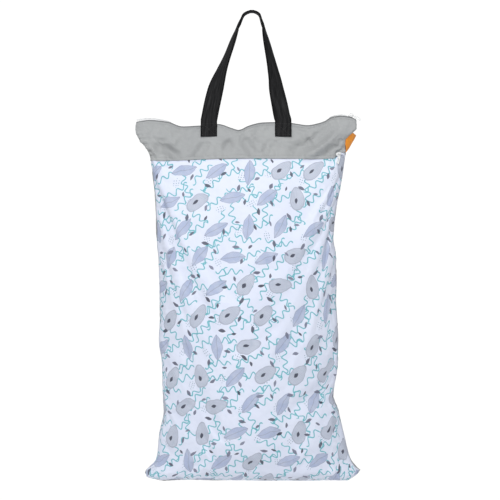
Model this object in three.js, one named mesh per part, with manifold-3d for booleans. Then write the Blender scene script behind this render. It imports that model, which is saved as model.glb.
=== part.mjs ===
// Hanging cloth wet bag: a printed pouch with a plain band at the top, a zip along the mouth,
// a zipped front pocket, one webbing strap sewn on the band and a small tag in the side seam.
// Millimetres, +Z up, the front faces -Y. The origin is the underside of the strap at its
// highest point, where the bag hangs.
import * as THREE from 'three';
import { mergeVertices } from 'three/addons/utils/BufferGeometryUtils.js';
import Module from 'manifold-3d';

const wasm = await Module();
wasm.setup();

// Driving dimensions of the pouch
const bagWidth = 400; // ear to ear along the closed mouth
const bandHeight = 67; // mouth level down to the pocket zip
const printHeight = 585; // pocket zip down to the bottom seam
const bagShift = -8; // the bag's middle line lies this far beside the hanging point
const frontFullness = 64; // how far the front wall stands before the side seams
const backFullness = 58; // how far the back wall stands behind them
const mouthThickness = 7.6; // over both walls along the mouth
const wall = 1.2; // laminated cloth with its seam allowance
const clearance = 0.3; // left between pieces that touch
const zipClearance = 0.5; // left between a zip and the cloth edges beside it
const mouthHem = 12; // flat hem along the mouth, where the zip is sewn in
const earRise = 10.6; // right ear above the mouth level
const flapRise = 10.5; // the print's right corner above the pocket zip
const tipRise = 19; // right bottom tip above the bottom seam
const foldDepth = 5; // deepest plain fold
const foldWidth = 11; // half width of a plain fold
const mouthSway = 6; // how far the mouth wanders to the front and back

// Driving dimensions of the strap
const strapWidth = 30;
const strapThickness = 2;
const strapRise = 200; // hanging point down to the mouth level
const strapHalfSpread = 68; // half the distance between the sewn ends
const strapSewn = 27; // length of each end sewn on the band
const strapSeat = 6; // flat stretch at the top that hangs on a peg
const strapSeatGap = 0.7; // thread and cloth between strap and band
const strapRoot = 3; // each leg straightens this far above the band

// Driving dimensions of the zips, the pulls and the tag
const tapeShow = 4.9; // zip standing above the band at the left ear
const tapeDrop = 10; // tape going down inside the band
const tapeThickness = 1;
const coilWidth = 4.4;
const coilHeight = 2;
const pocketCoil = 1.8; // thickness of the pocket zip's closed coil
const pocketTapeReach = 10; // tape above and below the pocket's coil
const sliderLength = 9;
const sliderWidth = 7;
const sliderHeight = 2.6;
const bridgeLength = 7;
const bridgeHeight = 4.2;
const bridgeThickness = 1.4;
const bridgeBar = 1;
const ringRadius = 2.3; // to the middle of its wire
const ringWire = 0.5;
const pullLength = 15;
const pullWidth = 4.8;
const pullThickness = 1.2;
const pullSlot = 1.6;
const tagLength = 20; // out of the side seam
const tagThickness = 1.6; // ribbon folded double

// Form of the pillow, as shares and powers
const fullestAt = 0.65; // down the height, where the walls stand furthest apart
const fillCurve = 2.7; // how quickly they part below the mouth
const bottomRoundFrom = 0.8; // down the height, where the bottom starts to round off
const sideCurve = 2.2; // how flat the middle is from side to side
const sideBluntness = 0.6; // how blunt the walls meet at the side seams
const mouthEndCurve = 100; // how near the ears the mouth closes
const mouthFade = 8; // how near the bottom the mouth's thickness fades out
const swayFade = 4; // the mouth's wandering fades out over one part in this many
const foldEndShare = 0.35; // depth left at the ends of a fold

// Numbers of facets
const bandColumns = 32;
const hemRows = 2;
const bandRows = 6;
const printRows = 28;
const backColumns = 24;
const backRows = 30;
const leastColumn = 0.01; // narrowest column left at a zip's end
const tapeNarrowColumns = 2; // columns at the left ear, where the tape is too low for its full drop
const strapLegSteps = 20;
const strapSewnSteps = 5;
const strapAcross = 4;
const tagSteps = 4;
const tagPlaces = 6;

// Colours
const bandGrey = 0xacaead;
const printWhite = 0xe6e9f4;
const zipWhite = 0xf4f4f2;
const strapBlack = 0x242424;
const tagOrange = 0xf09628;

const mouthLevel = -strapRise;
const bagHeight = bandHeight + printHeight;
const joinLevel = mouthLevel - bandHeight;
const bottomLevel = mouthLevel - bagHeight;
const seamHalf = wall + clearance / 2;

// The side outline: how far each side seam lies from the middle line, as shares of half the
// bag's width, at heights given as shares of its height below the mouth level.
const sideOutline = [
  { down: -0.011, left: 0.993, right: 0.977 },
  { down: -0.003, left: 1.008, right: 0.989 },
  { down: 0.020, left: 1.015, right: 0.988 },
  { down: 0.031, left: 1.010, right: 0.950 },
  { down: 0.040, left: 0.995, right: 0.914 },
  { down: 0.053, left: 0.974, right: 0.884 },
  { down: 0.067, left: 0.937, right: 0.885 },
  { down: 0.084, left: 0.906, right: 0.890 },
  { down: 0.100, left: 0.888, right: 0.882 },
  { down: 0.190, left: 0.843, right: 0.841 },
  { down: 0.246, left: 0.833, right: 0.804 },
  { down: 0.324, left: 0.822, right: 0.779 },
  { down: 0.385, left: 0.811, right: 0.804 },
  { down: 0.497, left: 0.797, right: 0.806 },
  { down: 0.608, left: 0.804, right: 0.823 },
  { down: 0.664, left: 0.783, right: 0.823 },
  { down: 0.762, left: 0.767, right: 0.777 },
  { down: 0.803, left: 0.761, right: 0.823 },
  { down: 0.859, left: 0.797, right: 0.868 },
  { down: 0.943, left: 0.833, right: 0.941 },
  { down: 0.960, left: 0.883, right: 0.977 },
  { down: 0.971, left: 0.915, right: 1.021 },
  { down: 0.979, left: 0.929, right: 1.023 },
  { down: 1.000, left: 0.929, right: 1.023 },
];

// The mouth from the left ear to the right one: the band's edge above the mouth level as a
// share of earRise, the zip above that edge as a share of tapeShow, and the way the mouth
// wanders to the back as a share of mouthSway.
const mouthLine = [
  { across: -1.00, rise: 0.00, zip: 1.0, sway: -0.6 },
  { across: -0.88, rise: 0.29, zip: 0.9, sway: -0.4 },
  { across: -0.72, rise: 0.03, zip: 0.5, sway: 0.1 },
  { across: -0.58, rise: -0.76, zip: -0.6, sway: 0.5 },
  { across: -0.43, rise: -0.62, zip: -0.6, sway: 0.5 },
  { across: -0.26, rise: -0.36, zip: -0.6, sway: 0.1 },
  { across: -0.13, rise: -1.09, zip: -0.6, sway: -0.4 },
  { across: -0.07, rise: -1.41, zip: -0.6, sway: -0.6 },
  { across: 0.02, rise: -0.69, zip: -0.6, sway: -0.5 },
  { across: 0.15, rise: -0.10, zip: -0.6, sway: 0.25 },
  { across: 0.33, rise: 0.00, zip: -0.6, sway: 0.45 },
  { across: 0.46, rise: -0.31, zip: -0.6, sway: 0.5 },
  { across: 0.56, rise: -0.55, zip: -0.6, sway: 0.4 },
  { across: 0.64, rise: -0.31, zip: -0.6, sway: 0.1 },
  { across: 0.71, rise: 0.09, zip: -0.2, sway: -0.2 },
  { across: 0.78, rise: 0.81, zip: 0.5, sway: -0.5 },
  { across: 0.86, rise: 1.00, zip: 0.6, sway: -0.9 },
  { across: 0.95, rise: 0.78, zip: 0.4, sway: -1.0 },
  { across: 1.00, rise: 0.35, zip: 0.3, sway: -1.0 },
];

// The pocket zip from side to side, as a share of flapRise above its level.
const joinLine = [
  { across: -1.000, rise: -0.33 },
  { across: -0.750, rise: -0.22 },
  { across: -0.400, rise: 0.00 },
  { across: 0.000, rise: 0.14 },
  { across: 0.870, rise: 0.07 },
  { across: 0.920, rise: 0.70 },
  { across: 0.955, rise: 1.00 },
  { across: 1.000, rise: 0.95 },
];

// The bottom seam from tip to tip, as a share of tipRise above its level.
const bottomLine = [
  { across: -1.000, rise: 0.71 },
  { across: -0.980, rise: 0.36 },
  { across: -0.920, rise: 0.17 },
  { across: -0.820, rise: 0.00 },
  { across: 0.870, rise: 0.00 },
  { across: 0.925, rise: 0.24 },
  { across: 0.980, rise: 0.62 },
  { across: 1.000, rise: 1.00 },
];

// Folds, each along a line: its ends as shares across the bag and down the wall that it lies
// in, its depth as a share of foldDepth, negative where it stands out, and its half width as
// a share of foldWidth.
const bandFolds = [
  { across: -0.82, down: 0.62, toAcross: -0.70, toDown: 0.90, depth: 1.1, width: 0.8 },
  { across: -0.90, down: 0.30, toAcross: -0.84, toDown: 0.95, depth: 0.6, width: 0.7 },
  { across: -0.07, down: 0.05, toAcross: -0.22, toDown: 0.75, depth: 0.8, width: 0.9 },
  { across: -0.07, down: 0.05, toAcross: 0.08, toDown: 0.90, depth: 0.7, width: 1.0 },
  { across: -0.35, down: 0.50, toAcross: -0.55, toDown: 1.00, depth: 0.6, width: 1.1 },
  { across: 0.33, down: 0.50, toAcross: 0.20, toDown: 0.95, depth: 0.6, width: 1.0 },
  { across: 0.45, down: 0.85, toAcross: 0.82, toDown: 0.20, depth: 1.1, width: 1.2 },
  { across: 0.60, down: 0.95, toAcross: 0.90, toDown: 0.45, depth: -0.7, width: 1.1 },
  { across: 0.98, down: 0.00, toAcross: 0.93, toDown: 0.35, depth: 0.8, width: 0.7 },
];
const printFolds = [
  { across: -1.00, down: 0.57, toAcross: -0.45, toDown: 0.62, depth: 1.0, width: 1.7 },
  { across: 1.00, down: 0.73, toAcross: 0.40, toDown: 0.77, depth: 1.4, width: 1.8 },
  { across: 1.00, down: 0.24, toAcross: 0.50, toDown: 0.29, depth: 1.0, width: 1.8 },
  { across: -1.00, down: 0.16, toAcross: -0.60, toDown: 0.22, depth: 0.7, width: 1.7 },
  { across: -0.98, down: 0.98, toAcross: -0.55, toDown: 0.86, depth: 1.3, width: 1.6 },
  { across: 0.98, down: 0.98, toAcross: 0.55, toDown: 0.84, depth: 1.4, width: 1.6 },
  { across: 0.95, down: 0.07, toAcross: 0.70, toDown: 0.15, depth: 1.0, width: 1.4 },
  { across: -0.35, down: 0.93, toAcross: 0.30, toDown: 0.95, depth: 0.7, width: 1.6 },
];
const backFolds = [
  { across: -0.30, down: 0.02, toAcross: -0.12, toDown: 0.20, depth: 1.1, width: 1.6 },
  { across: 0.40, down: 0.03, toAcross: 0.62, toDown: 0.20, depth: 1.2, width: 1.7 },
  { across: -0.75, down: 0.03, toAcross: -0.62, toDown: 0.18, depth: 1.0, width: 1.6 },
  { across: -1.00, down: 0.60, toAcross: -0.40, toDown: 0.66, depth: 1.1, width: 2.0 },
  { across: 1.00, down: 0.72, toAcross: 0.30, toDown: 0.78, depth: 1.3, width: 2.0 },
  { across: -0.98, down: 0.98, toAcross: -0.50, toDown: 0.85, depth: 1.4, width: 1.8 },
  { across: 0.98, down: 0.98, toAcross: 0.55, toDown: 0.83, depth: 1.4, width: 1.8 },
];

// The strap's legs below the hanging point: height as a share of strapRise, distance out as a
// share of strapHalfSpread, and the turn from facing the front, in degrees.
const strapLegs = [
  { down: 0.036, left: 0.241, leftTurn: 86, right: 0.214, rightTurn: 86 },
  { down: 0.118, left: 0.356, leftTurn: 80, right: 0.294, rightTurn: 79 },
  { down: 0.255, left: 0.522, leftTurn: 69, right: 0.401, rightTurn: 68 },
  { down: 0.391, left: 0.656, leftTurn: 63, right: 0.482, rightTurn: 59 },
  { down: 0.527, left: 0.803, leftTurn: 49, right: 0.562, rightTurn: 48 },
  { down: 0.618, left: 0.897, leftTurn: 32, right: 0.616, rightTurn: 38 },
  { down: 0.709, left: 0.977, leftTurn: 14, right: 0.656, rightTurn: 24 },
  { down: 0.845, left: 1.070, leftTurn: 2, right: 0.736, rightTurn: 9 },
  { down: 0.960, left: 1.130, leftTurn: 0, right: 0.782, rightTurn: 0 },
];
const strapSewnLeft = 1.152; // middle of each sewn end, as a share of strapHalfSpread
const strapSewnRight = 0.836;

// The tag in the right side seam: its ends down the seam as shares of the bag's height, and
// the direction in which each end leaves the seam.
const tagEnds = [
  { down: 0.029, x: 0.37, y: 0.90, z: -0.22 },
  { down: 0.041, x: 0.34, y: 0.60, z: -0.72 },
  { down: 0.053, x: 0.16, y: -0.12, z: -0.98 },
];
const topSliderAcross = 0.945; // place of each slider along its zip
const pocketSliderAcross = 0.92;
const pocketCoilStart = 0.95; // ends of the pocket's coil and tape, as shares of half its length
const pocketCoilEnd = 0.86;
const pocketTapeEnd = 0.93;
const topPullFall = 30; // degrees below level
const pocketPullTilt = 14; // degrees from hanging straight

// Smooth value of a table's column between its rows, without overshoot.
function readTable(table, key, column, at) {
  const last = table.length - 1;
  if (at <= table[0][key]) return table[0][column];
  if (at >= table[last][key]) return table[last][column];
  const slope = (row) => {
    const next = table[row + 1];
    return (next[column] - table[row][column]) / (next[key] - table[row][key]);
  };
  const tangent = (row) => {
    if (row === 0) return slope(0);
    if (row === last) return slope(last - 1);
    const before = slope(row - 1);
    const after = slope(row);
    return before * after > 0 ? (2 * before * after) / (before + after) : 0;
  };
  let row = 0;
  while (at > table[row + 1][key]) row += 1;
  const span = table[row + 1][key] - table[row][key];
  const t = (at - table[row][key]) / span;
  const startPart = 2 * t ** 3 - 3 * t ** 2 + 1;
  const endPart = 1 - startPart;
  const startSlope = (t ** 3 - 2 * t ** 2 + t) * span * tangent(row);
  const endSlope = (t ** 3 - t ** 2) * span * tangent(row + 1);
  return startPart * table[row][column] + endPart * table[row + 1][column] + startSlope + endSlope;
}

const mix = (a, b, t) => a + (b - a) * t;
const smooth = (t) => {
  const inside = Math.min(1, Math.max(0, t));
  return inside * inside * (3 - 2 * inside);
};

// Outline lines of the pouch
function sideX(side, z) {
  const share = readTable(sideOutline, 'down', side < 0 ? 'left' : 'right', (mouthLevel - z) / bagHeight);
  return bagShift + (side * share * bagWidth) / 2;
}
const mouthZ = (across) => mouthLevel + earRise * readTable(mouthLine, 'across', 'rise', across);
const joinZ = (across) => joinLevel + flapRise * readTable(joinLine, 'across', 'rise', across);
const bottomZ = (across) => bottomLevel + tipRise * readTable(bottomLine, 'across', 'rise', across);
const swayY = (across) => mouthSway * readTable(mouthLine, 'across', 'sway', across);

// Point in the plane of the side seams, across the bag and down between two of its lines.
function seamPlanePoint(across, down, topLine, lowLine) {
  const zAt = (u) => mix(topLine(u), lowLine(u), down);
  const x = mix(sideX(-1, zAt(-1)), sideX(1, zAt(1)), (across + 1) / 2);
  return { x, z: zAt(across) };
}

// Depth of a fold at a place, fading out beyond the line's ends.
function foldAt(fold, across, down, lengthAcross, lengthDown) {
  const alongX = (fold.toAcross - fold.across) * lengthAcross;
  const alongZ = (fold.toDown - fold.down) * lengthDown;
  const fromX = (across - fold.across) * lengthAcross;
  const fromZ = (down - fold.down) * lengthDown;
  const along = (fromX * alongX + fromZ * alongZ) / (alongX ** 2 + alongZ ** 2);
  const nearest = Math.min(1, Math.max(0, along));
  const aside = Math.hypot(fromX - nearest * alongX, fromZ - nearest * alongZ);
  const ends = mix(foldEndShare, 1, Math.sin(Math.PI * nearest) ** 0.5);
  return fold.depth * foldDepth * ends * Math.exp(-((aside / (fold.width * foldWidth)) ** 2));
}

// The sewn ends of the strap hold the band flat: 0 on them, 1 away from them.
function calmAt(x, z) {
  const lowEnd = mouthLevel - strapSewn;
  const distances = [-strapSewnLeft, strapSewnRight].map((share) => {
    const outX = Math.abs(x - share * strapHalfSpread) - strapWidth / 2;
    const outZ = lowEnd - z;
    return Math.max(outX, outZ);
  });
  return smooth((Math.min(...distances) - foldWidth / 2) / foldWidth);
}

// Lift of a wall from the seam plane: a pillow that is flat along the mouth, fullest at two
// thirds of its height and round at the bottom, less its folds.
function wallLift(x, z, fullness, folds) {
  const left = sideX(-1, z);
  const right = sideX(1, z);
  const across = Math.min(1, Math.max(-1, (2 * x - left - right) / (right - left)));
  const top = mouthZ(across);
  const down = Math.min(1, Math.max(0, (top - z) / (top - bottomZ(across))));
  const belowHem = Math.max(0, (top - mouthHem - z) / (top - mouthHem - bottomZ(across)));
  const rise = belowHem < fullestAt ? 1 - (1 - belowHem / fullestAt) ** fillCurve : 1;
  const intoRound = Math.max(0, (down - bottomRoundFrom) / (1 - bottomRoundFrom));
  const round = Math.sqrt(1 - intoRound ** 2);
  const section = (1 - Math.abs(across) ** sideCurve) ** sideBluntness;
  const pillow = fullness * rise * round * section;
  const mouthEnds = 1 - Math.abs(across) ** mouthEndCurve;
  const mouth = (mouthThickness / 2 - seamHalf) * mouthEnds * (1 - down ** mouthFade);
  const folded = folds(across, z, down) * calmAt(x, z);
  return { lift: Math.max(0, pillow + mouth - folded * Math.min(1, pillow / foldDepth)), across, down };
}

function frontFolds(across, z) {
  const join = joinZ(across);
  const bandDown = (mouthZ(across) - z) / (mouthZ(across) - join);
  const printDown = (join - z) / (join - bottomZ(across));
  let sum = 0;
  bandFolds.forEach((fold) => {
    sum += foldAt(fold, across, bandDown, bagWidth / 2, bandHeight);
  });
  printFolds.forEach((fold) => {
    sum += foldAt(fold, across, printDown, bagWidth / 2, printHeight);
  });
  return sum;
}

function backFoldSum(across, z, down) {
  let sum = 0;
  backFolds.forEach((fold) => {
    sum += foldAt(fold, across, down, bagWidth / 2, bagHeight);
  });
  return sum;
}

// Middle of the seam from front to back, which follows the mouth's wandering near the top.
const seamY = (across, down) => swayY(across) * (1 - smooth(down * swayFade));

function frontPoint(x, z) {
  const { lift, across, down } = wallLift(x, z, frontFullness, frontFolds);
  return new THREE.Vector3(x, seamY(across, down) - seamHalf - lift, z);
}

function backPoint(x, z) {
  const { lift, across, down } = wallLift(x, z, backFullness, backFoldSum);
  return new THREE.Vector3(x, seamY(across, down) + seamHalf + lift, z);
}

// Places between -1 and 1, closer together at the ends
function spread(count) {
  return Array.from({ length: count + 1 }, (_, index) => {
    const s = (2 * index) / count - 1;
    return 0.5 * s + 0.5 * Math.sin((Math.PI / 2) * s);
  });
}

// The same between 0 and 1
const closerAtEnds = (step) => 0.5 * step + 0.25 * (1 - Math.cos(Math.PI * step));

// Mesh with shared vertices from quads and triangles, turned so that its faces point out.
function solidFrom(vertices, faces) {
  const triangles = [];
  faces.forEach((face) => {
    for (let corner = 2; corner < face.length; corner += 1) {
      triangles.push([face[0], face[corner - 1], face[corner]]);
    }
  });
  let volume = 0;
  triangles.forEach(([a, b, c]) => {
    volume += vertices[a].dot(new THREE.Vector3().crossVectors(vertices[b], vertices[c]));
  });
  const ordered = volume > 0 ? triangles : triangles.map(([a, b, c]) => [a, c, b]);
  const geometry = new THREE.BufferGeometry();
  const positions = vertices.flatMap((vertex) => vertex.toArray());
  geometry.setAttribute('position', new THREE.Float32BufferAttribute(positions, 3));
  geometry.setIndex(ordered.flat());
  geometry.computeVertexNormals();
  return geometry;
}

// Normals of a grid of points, from their neighbours.
function gridNormals(grid) {
  const lastRow = grid.length - 1;
  const lastColumn = grid[0].length - 1;
  return grid.map((row, i) => row.map((point, j) => {
    const downward = grid[Math.min(lastRow, i + 1)][j].clone().sub(grid[Math.max(0, i - 1)][j]);
    const sideways = row[Math.min(lastColumn, j + 1)].clone().sub(row[Math.max(0, j - 1)]);
    return new THREE.Vector3().crossVectors(downward, sideways).normalize();
  }));
}

// Closed wall between a grid of points and the same grid moved along its normals.
function wallSolid(grid, from, to) {
  const normals = gridNormals(grid);
  const rows = grid.length;
  const columns = grid[0].length;
  const vertices = [];
  [from, to].forEach((offset) => {
    grid.forEach((row, i) => row.forEach((point, j) => {
      vertices.push(point.clone().addScaledVector(normals[i][j], offset));
    }));
  });
  const size = rows * columns;
  const at = (layer, i, j) => layer * size + i * columns + j;
  const faces = [];
  for (let i = 0; i + 1 < rows; i += 1) {
    for (let j = 0; j + 1 < columns; j += 1) {
      faces.push([at(0, i, j), at(0, i + 1, j), at(0, i + 1, j + 1), at(0, i, j + 1)]);
      faces.push([at(1, i, j), at(1, i, j + 1), at(1, i + 1, j + 1), at(1, i + 1, j)]);
    }
  }
  const rim = [];
  for (let j = 0; j < columns; j += 1) rim.push([0, j]);
  for (let i = 1; i < rows; i += 1) rim.push([i, columns - 1]);
  for (let j = columns - 2; j >= 0; j -= 1) rim.push([rows - 1, j]);
  for (let i = rows - 2; i > 0; i -= 1) rim.push([i, 0]);
  rim.forEach(([i, j], index) => {
    const [nextI, nextJ] = rim[(index + 1) % rim.length];
    faces.push([at(0, i, j), at(0, nextI, nextJ), at(1, nextI, nextJ), at(1, i, j)]);
  });
  return solidFrom(vertices, faces);
}

// Closed solid through sections that are loops of as many points each.
function loftSolid(sections) {
  const count = sections[0].length;
  const vertices = sections.flat();
  const faces = [];
  for (let i = 0; i + 1 < sections.length; i += 1) {
    for (let j = 0; j < count; j += 1) {
      const next = (j + 1) % count;
      faces.push([i * count + j, i * count + next, (i + 1) * count + next, (i + 1) * count + j]);
    }
  }
  const end = (sections.length - 1) * count;
  faces.push(Array.from({ length: count }, (_, j) => count - 1 - j));
  faces.push(Array.from({ length: count }, (_, j) => end + j));
  return solidFrom(vertices, faces);
}

// Joining with manifold-3d
function toManifold(geometry) {
  const bare = geometry.clone();
  bare.deleteAttribute('normal');
  bare.deleteAttribute('uv');
  const merged = mergeVertices(bare, 1e-4);
  return new wasm.Manifold(new wasm.Mesh({
    numProp: 3,
    vertProperties: new Float32Array(merged.attributes.position.array),
    triVerts: new Uint32Array(merged.index.array),
  }));
}

function fromManifold(solid) {
  const mesh = solid.getMesh();
  const geometry = new THREE.BufferGeometry();
  geometry.setAttribute('position', new THREE.BufferAttribute(new Float32Array(mesh.vertProperties), 3));
  geometry.setIndex(new THREE.BufferAttribute(new Uint32Array(mesh.triVerts), 1));
  geometry.computeVertexNormals();
  return geometry;
}

// Cloth walls
function clothGrid(columns, rows, place) {
  const acrosses = spread(columns);
  return Array.from({ length: rows + 1 }, (_, row) => acrosses.map((across) => place(across, row / rows)));
}

const joinHalf = pocketCoil / 2 + zipClearance; // from the pocket zip's line to each cloth edge

function bandSolid() {
  const hemEdge = (across) => mouthZ(across) - mouthHem;
  const lowEdge = (across) => joinZ(across) + joinHalf;
  const hem = clothGrid(bandColumns, hemRows, (across, down) => {
    const { x, z } = seamPlanePoint(across, down, mouthZ, hemEdge);
    return frontPoint(x, z);
  });
  const below = clothGrid(bandColumns, bandRows, (across, down) => {
    const { x, z } = seamPlanePoint(across, down, hemEdge, lowEdge);
    return frontPoint(x, z);
  });
  return wallSolid(hem.concat(below.slice(1)), 0, -wall);
}

function printSolid() {
  const topEdge = (across) => joinZ(across) - joinHalf;
  const grid = clothGrid(bandColumns, printRows, (across, step) => {
    const { x, z } = seamPlanePoint(across, closerAtEnds(step), topEdge, bottomZ);
    return frontPoint(x, z);
  });
  return wallSolid(grid, 0, -wall);
}

function backSolid() {
  const hemEdge = (across) => mouthZ(across) - mouthHem;
  const hem = clothGrid(backColumns, hemRows, (across, down) => {
    const { x, z } = seamPlanePoint(across, down, mouthZ, hemEdge);
    return backPoint(x, z);
  });
  const below = clothGrid(backColumns, backRows, (across, step) => {
    const { x, z } = seamPlanePoint(across, closerAtEnds(step), hemEdge, bottomZ);
    return backPoint(x, z);
  });
  return wallSolid(hem.concat(below.slice(1)), 0, wall);
}

// The mouth's zip: two tapes inside the band and the closed coil along their tops
const acrossMouth = spread(bandColumns);
const columnsUpTo = (end) => acrossMouth.filter((across) => across < end - leastColumn).concat(end);
const mouthX = (across) => mix(sideX(-1, mouthZ(-1)), sideX(1, mouthZ(1)), (across + 1) / 2);
function tapeTopZ(across) {
  const coilTop = mouthZ(across) + tapeShow * readTable(mouthLine, 'across', 'zip', across);
  return coilTop - coilHeight - clearance;
}

function tapeSolid(side) {
  const outer = mouthThickness / 2 - wall - zipClearance;
  const inner = outer - tapeThickness;
  const acrosses = columnsUpTo(topSliderAcross);
  const sections = acrosses.map((across, index) => {
    const x = mouthX(across);
    const y = swayY(across);
    const topZ = tapeTopZ(across);
    const narrowZ = Math.min(topZ - tapeThickness, mouthZ(across) + clearance);
    const lowZ = index > tapeNarrowColumns ? mouthZ(across) - tapeDrop : narrowZ;
    return [
      new THREE.Vector3(x, y + side * inner, topZ),
      new THREE.Vector3(x, y + side * outer, topZ),
      new THREE.Vector3(x, y + side * outer, lowZ),
      new THREE.Vector3(x, y + side * inner, lowZ),
    ];
  });
  return loftSolid(sections);
}

// Points round an upright oval, from its middle
function ovalSection(centre, outward, upward, halfWide, halfHigh, sides) {
  return Array.from({ length: sides }, (_, side) => {
    const angle = ((side + 0.5) / sides) * 2 * Math.PI;
    return centre.clone()
      .addScaledVector(outward, halfWide * Math.cos(angle))
      .addScaledVector(upward, halfHigh * Math.sin(angle));
  });
}

const upwards = new THREE.Vector3(0, 0, 1);
const backwards = new THREE.Vector3(0, 1, 0);

function coilSolid() {
  const sliderStart = topSliderAcross - (sliderLength / 2 + clearance) / (bagWidth / 2);
  const sections = columnsUpTo(sliderStart).map((across) => {
    const z = tapeTopZ(across) + clearance + coilHeight / 2;
    const centre = new THREE.Vector3(mouthX(across), swayY(across), z);
    return ovalSection(centre, backwards, upwards, coilWidth / 2, coilHeight / 2, 6);
  });
  return loftSolid(sections);
}

// The pocket's zip: coil in the gap between band and print, tape behind both
function joinPoint(across, aside) {
  const line = (u) => joinZ(u) + aside;
  const { x, z } = seamPlanePoint(across, 0, line, bottomZ);
  return frontPoint(x, z);
}

function pocketCoilSolid() {
  const acrosses = columnsUpTo(pocketCoilEnd).filter((across) => across > -pocketCoilStart);
  const sections = acrosses.map((across) => {
    const centre = joinPoint(across, 0).addScaledVector(backwards, wall / 2);
    return ovalSection(centre, backwards, upwards, pocketCoil / 2, pocketCoil / 2, 6);
  });
  return loftSolid(sections);
}

function pocketTapeSolid() {
  const acrosses = acrossMouth.filter((across) => Math.abs(across) < pocketTapeEnd);
  const steps = [1, 0.4, -0.4, -1];
  const grid = steps.map((step) => acrosses.map((across) => joinPoint(across, step * pocketTapeReach)));
  const behindCoil = Math.max(wall, pocketCoil / 2 + wall / 2) + 2 * clearance;
  return wallSolid(grid, -behindCoil, -behindCoil - tapeThickness);
}

// The strap: each end sewn on the band's front, both legs turned so that the strap hangs flat
// on its peg
function strapLegSamples(side) {
  const out = side < 0 ? 'left' : 'right';
  const seat = new THREE.Vector3((side * strapSeat) / 2, 0, strapThickness / 2);
  const points = [seat];
  const sewnShare = side < 0 ? strapSewnLeft : strapSewnRight;
  const sewnX = side * sewnShare * strapHalfSpread;
  const sewnTopZ = mouthLevel + strapRoot;
  const sewnY = frontPoint(sewnX, sewnTopZ).y - strapSeatGap - strapThickness / 2;
  strapLegs.forEach((row) => {
    const x = side * row[out] * strapHalfSpread;
    points.push(new THREE.Vector3(x, sewnY * smooth(row.down), -row.down * strapRise));
  });
  points.push(new THREE.Vector3(sewnX, sewnY, sewnTopZ));
  const curve = new THREE.CatmullRomCurve3(points, false, 'centripetal');
  const legTurns = strapLegs.map((row) => ({ down: row.down, turn: row[`${out}Turn`] }));
  const turns = [{ down: 0, turn: 90 }].concat(legTurns);
  return curve.getSpacedPoints(strapLegSteps).map((centre, index) => {
    const turn = readTable(turns, 'down', 'turn', -centre.z / strapRise);
    const angle = THREE.MathUtils.degToRad(index === 0 ? 90 : turn);
    const widthways = new THREE.Vector3(-side * Math.cos(angle), -Math.sin(angle), 0);
    return { centre, widthways };
  });
}

function strapSection(centre, widthways, outward) {
  const near = [];
  const far = [];
  for (let step = 0; step <= strapAcross; step += 1) {
    const aside = strapWidth * (step / strapAcross - 0.5);
    const point = centre.clone().addScaledVector(widthways, aside);
    near.push(point.clone().addScaledVector(outward, strapThickness / 2));
    far.push(point.clone().addScaledVector(outward, -strapThickness / 2));
  }
  return near.concat(far.reverse());
}

function sewnSection(side, z, widthSign) {
  const sewnX = side * (side < 0 ? strapSewnLeft : strapSewnRight) * strapHalfSpread;
  const near = [];
  const far = [];
  for (let step = 0; step <= strapAcross; step += 1) {
    const x = sewnX + widthSign * strapWidth * (step / strapAcross - 0.5);
    const y = frontPoint(x, z).y - strapSeatGap;
    near.push(new THREE.Vector3(x, y - strapThickness, z));
    far.push(new THREE.Vector3(x, y, z));
  }
  return near.concat(far.reverse());
}

function strapSolid() {
  const left = strapLegSamples(-1).reverse();
  const right = strapLegSamples(1);
  const samples = left.concat(right);
  const seatLeft = left.length - 1;
  const sections = samples.map(({ centre, widthways }, index) => {
    const before = samples[Math.max(0, index - 1)].centre;
    const after = samples[Math.min(samples.length - 1, index + 1)].centre;
    const onSeat = index === seatLeft || index === seatLeft + 1;
    const tangent = onSeat ? new THREE.Vector3(1, 0, 0) : after.clone().sub(before).normalize();
    const width = widthways.clone().addScaledVector(tangent, -widthways.dot(tangent)).normalize();
    return strapSection(centre, width, new THREE.Vector3().crossVectors(width, tangent));
  });
  const stepDown = strapSewn / strapSewnSteps;
  const sewn = Array.from({ length: strapSewnSteps + 1 }, (_, step) => mouthLevel - step * stepDown);
  const leftSewn = sewn.map((z) => sewnSection(-1, z, 1)).reverse();
  const rightSewn = sewn.map((z) => sewnSection(1, z, -1));
  return loftSolid([...leftSewn, ...sections, ...rightSewn]);
}

// The tag: a folded ribbon that leaves the side seam and curls over
function tagSolid() {
  const grid = Array.from({ length: tagSteps + 1 }, (_, step) => {
    const reach = clearance + (step / tagSteps) * tagLength;
    const places = [];
    for (let place = 0; place <= tagPlaces; place += 1) {
      const down = mix(tagEnds[0].down, tagEnds[2].down, place / tagPlaces);
      const z = mouthLevel - down * bagHeight;
      const direction = new THREE.Vector3(
        readTable(tagEnds, 'down', 'x', down),
        readTable(tagEnds, 'down', 'y', down),
        readTable(tagEnds, 'down', 'z', down),
      ).normalize();
      const startX = sideX(1, z) + zipClearance + tagThickness / 2;
      const start = new THREE.Vector3(startX, seamY(1, down), z);
      places.push(start.addScaledVector(direction, reach));
    }
    return places;
  });
  return wallSolid(grid, -tagThickness / 2, tagThickness / 2);
}

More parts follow.
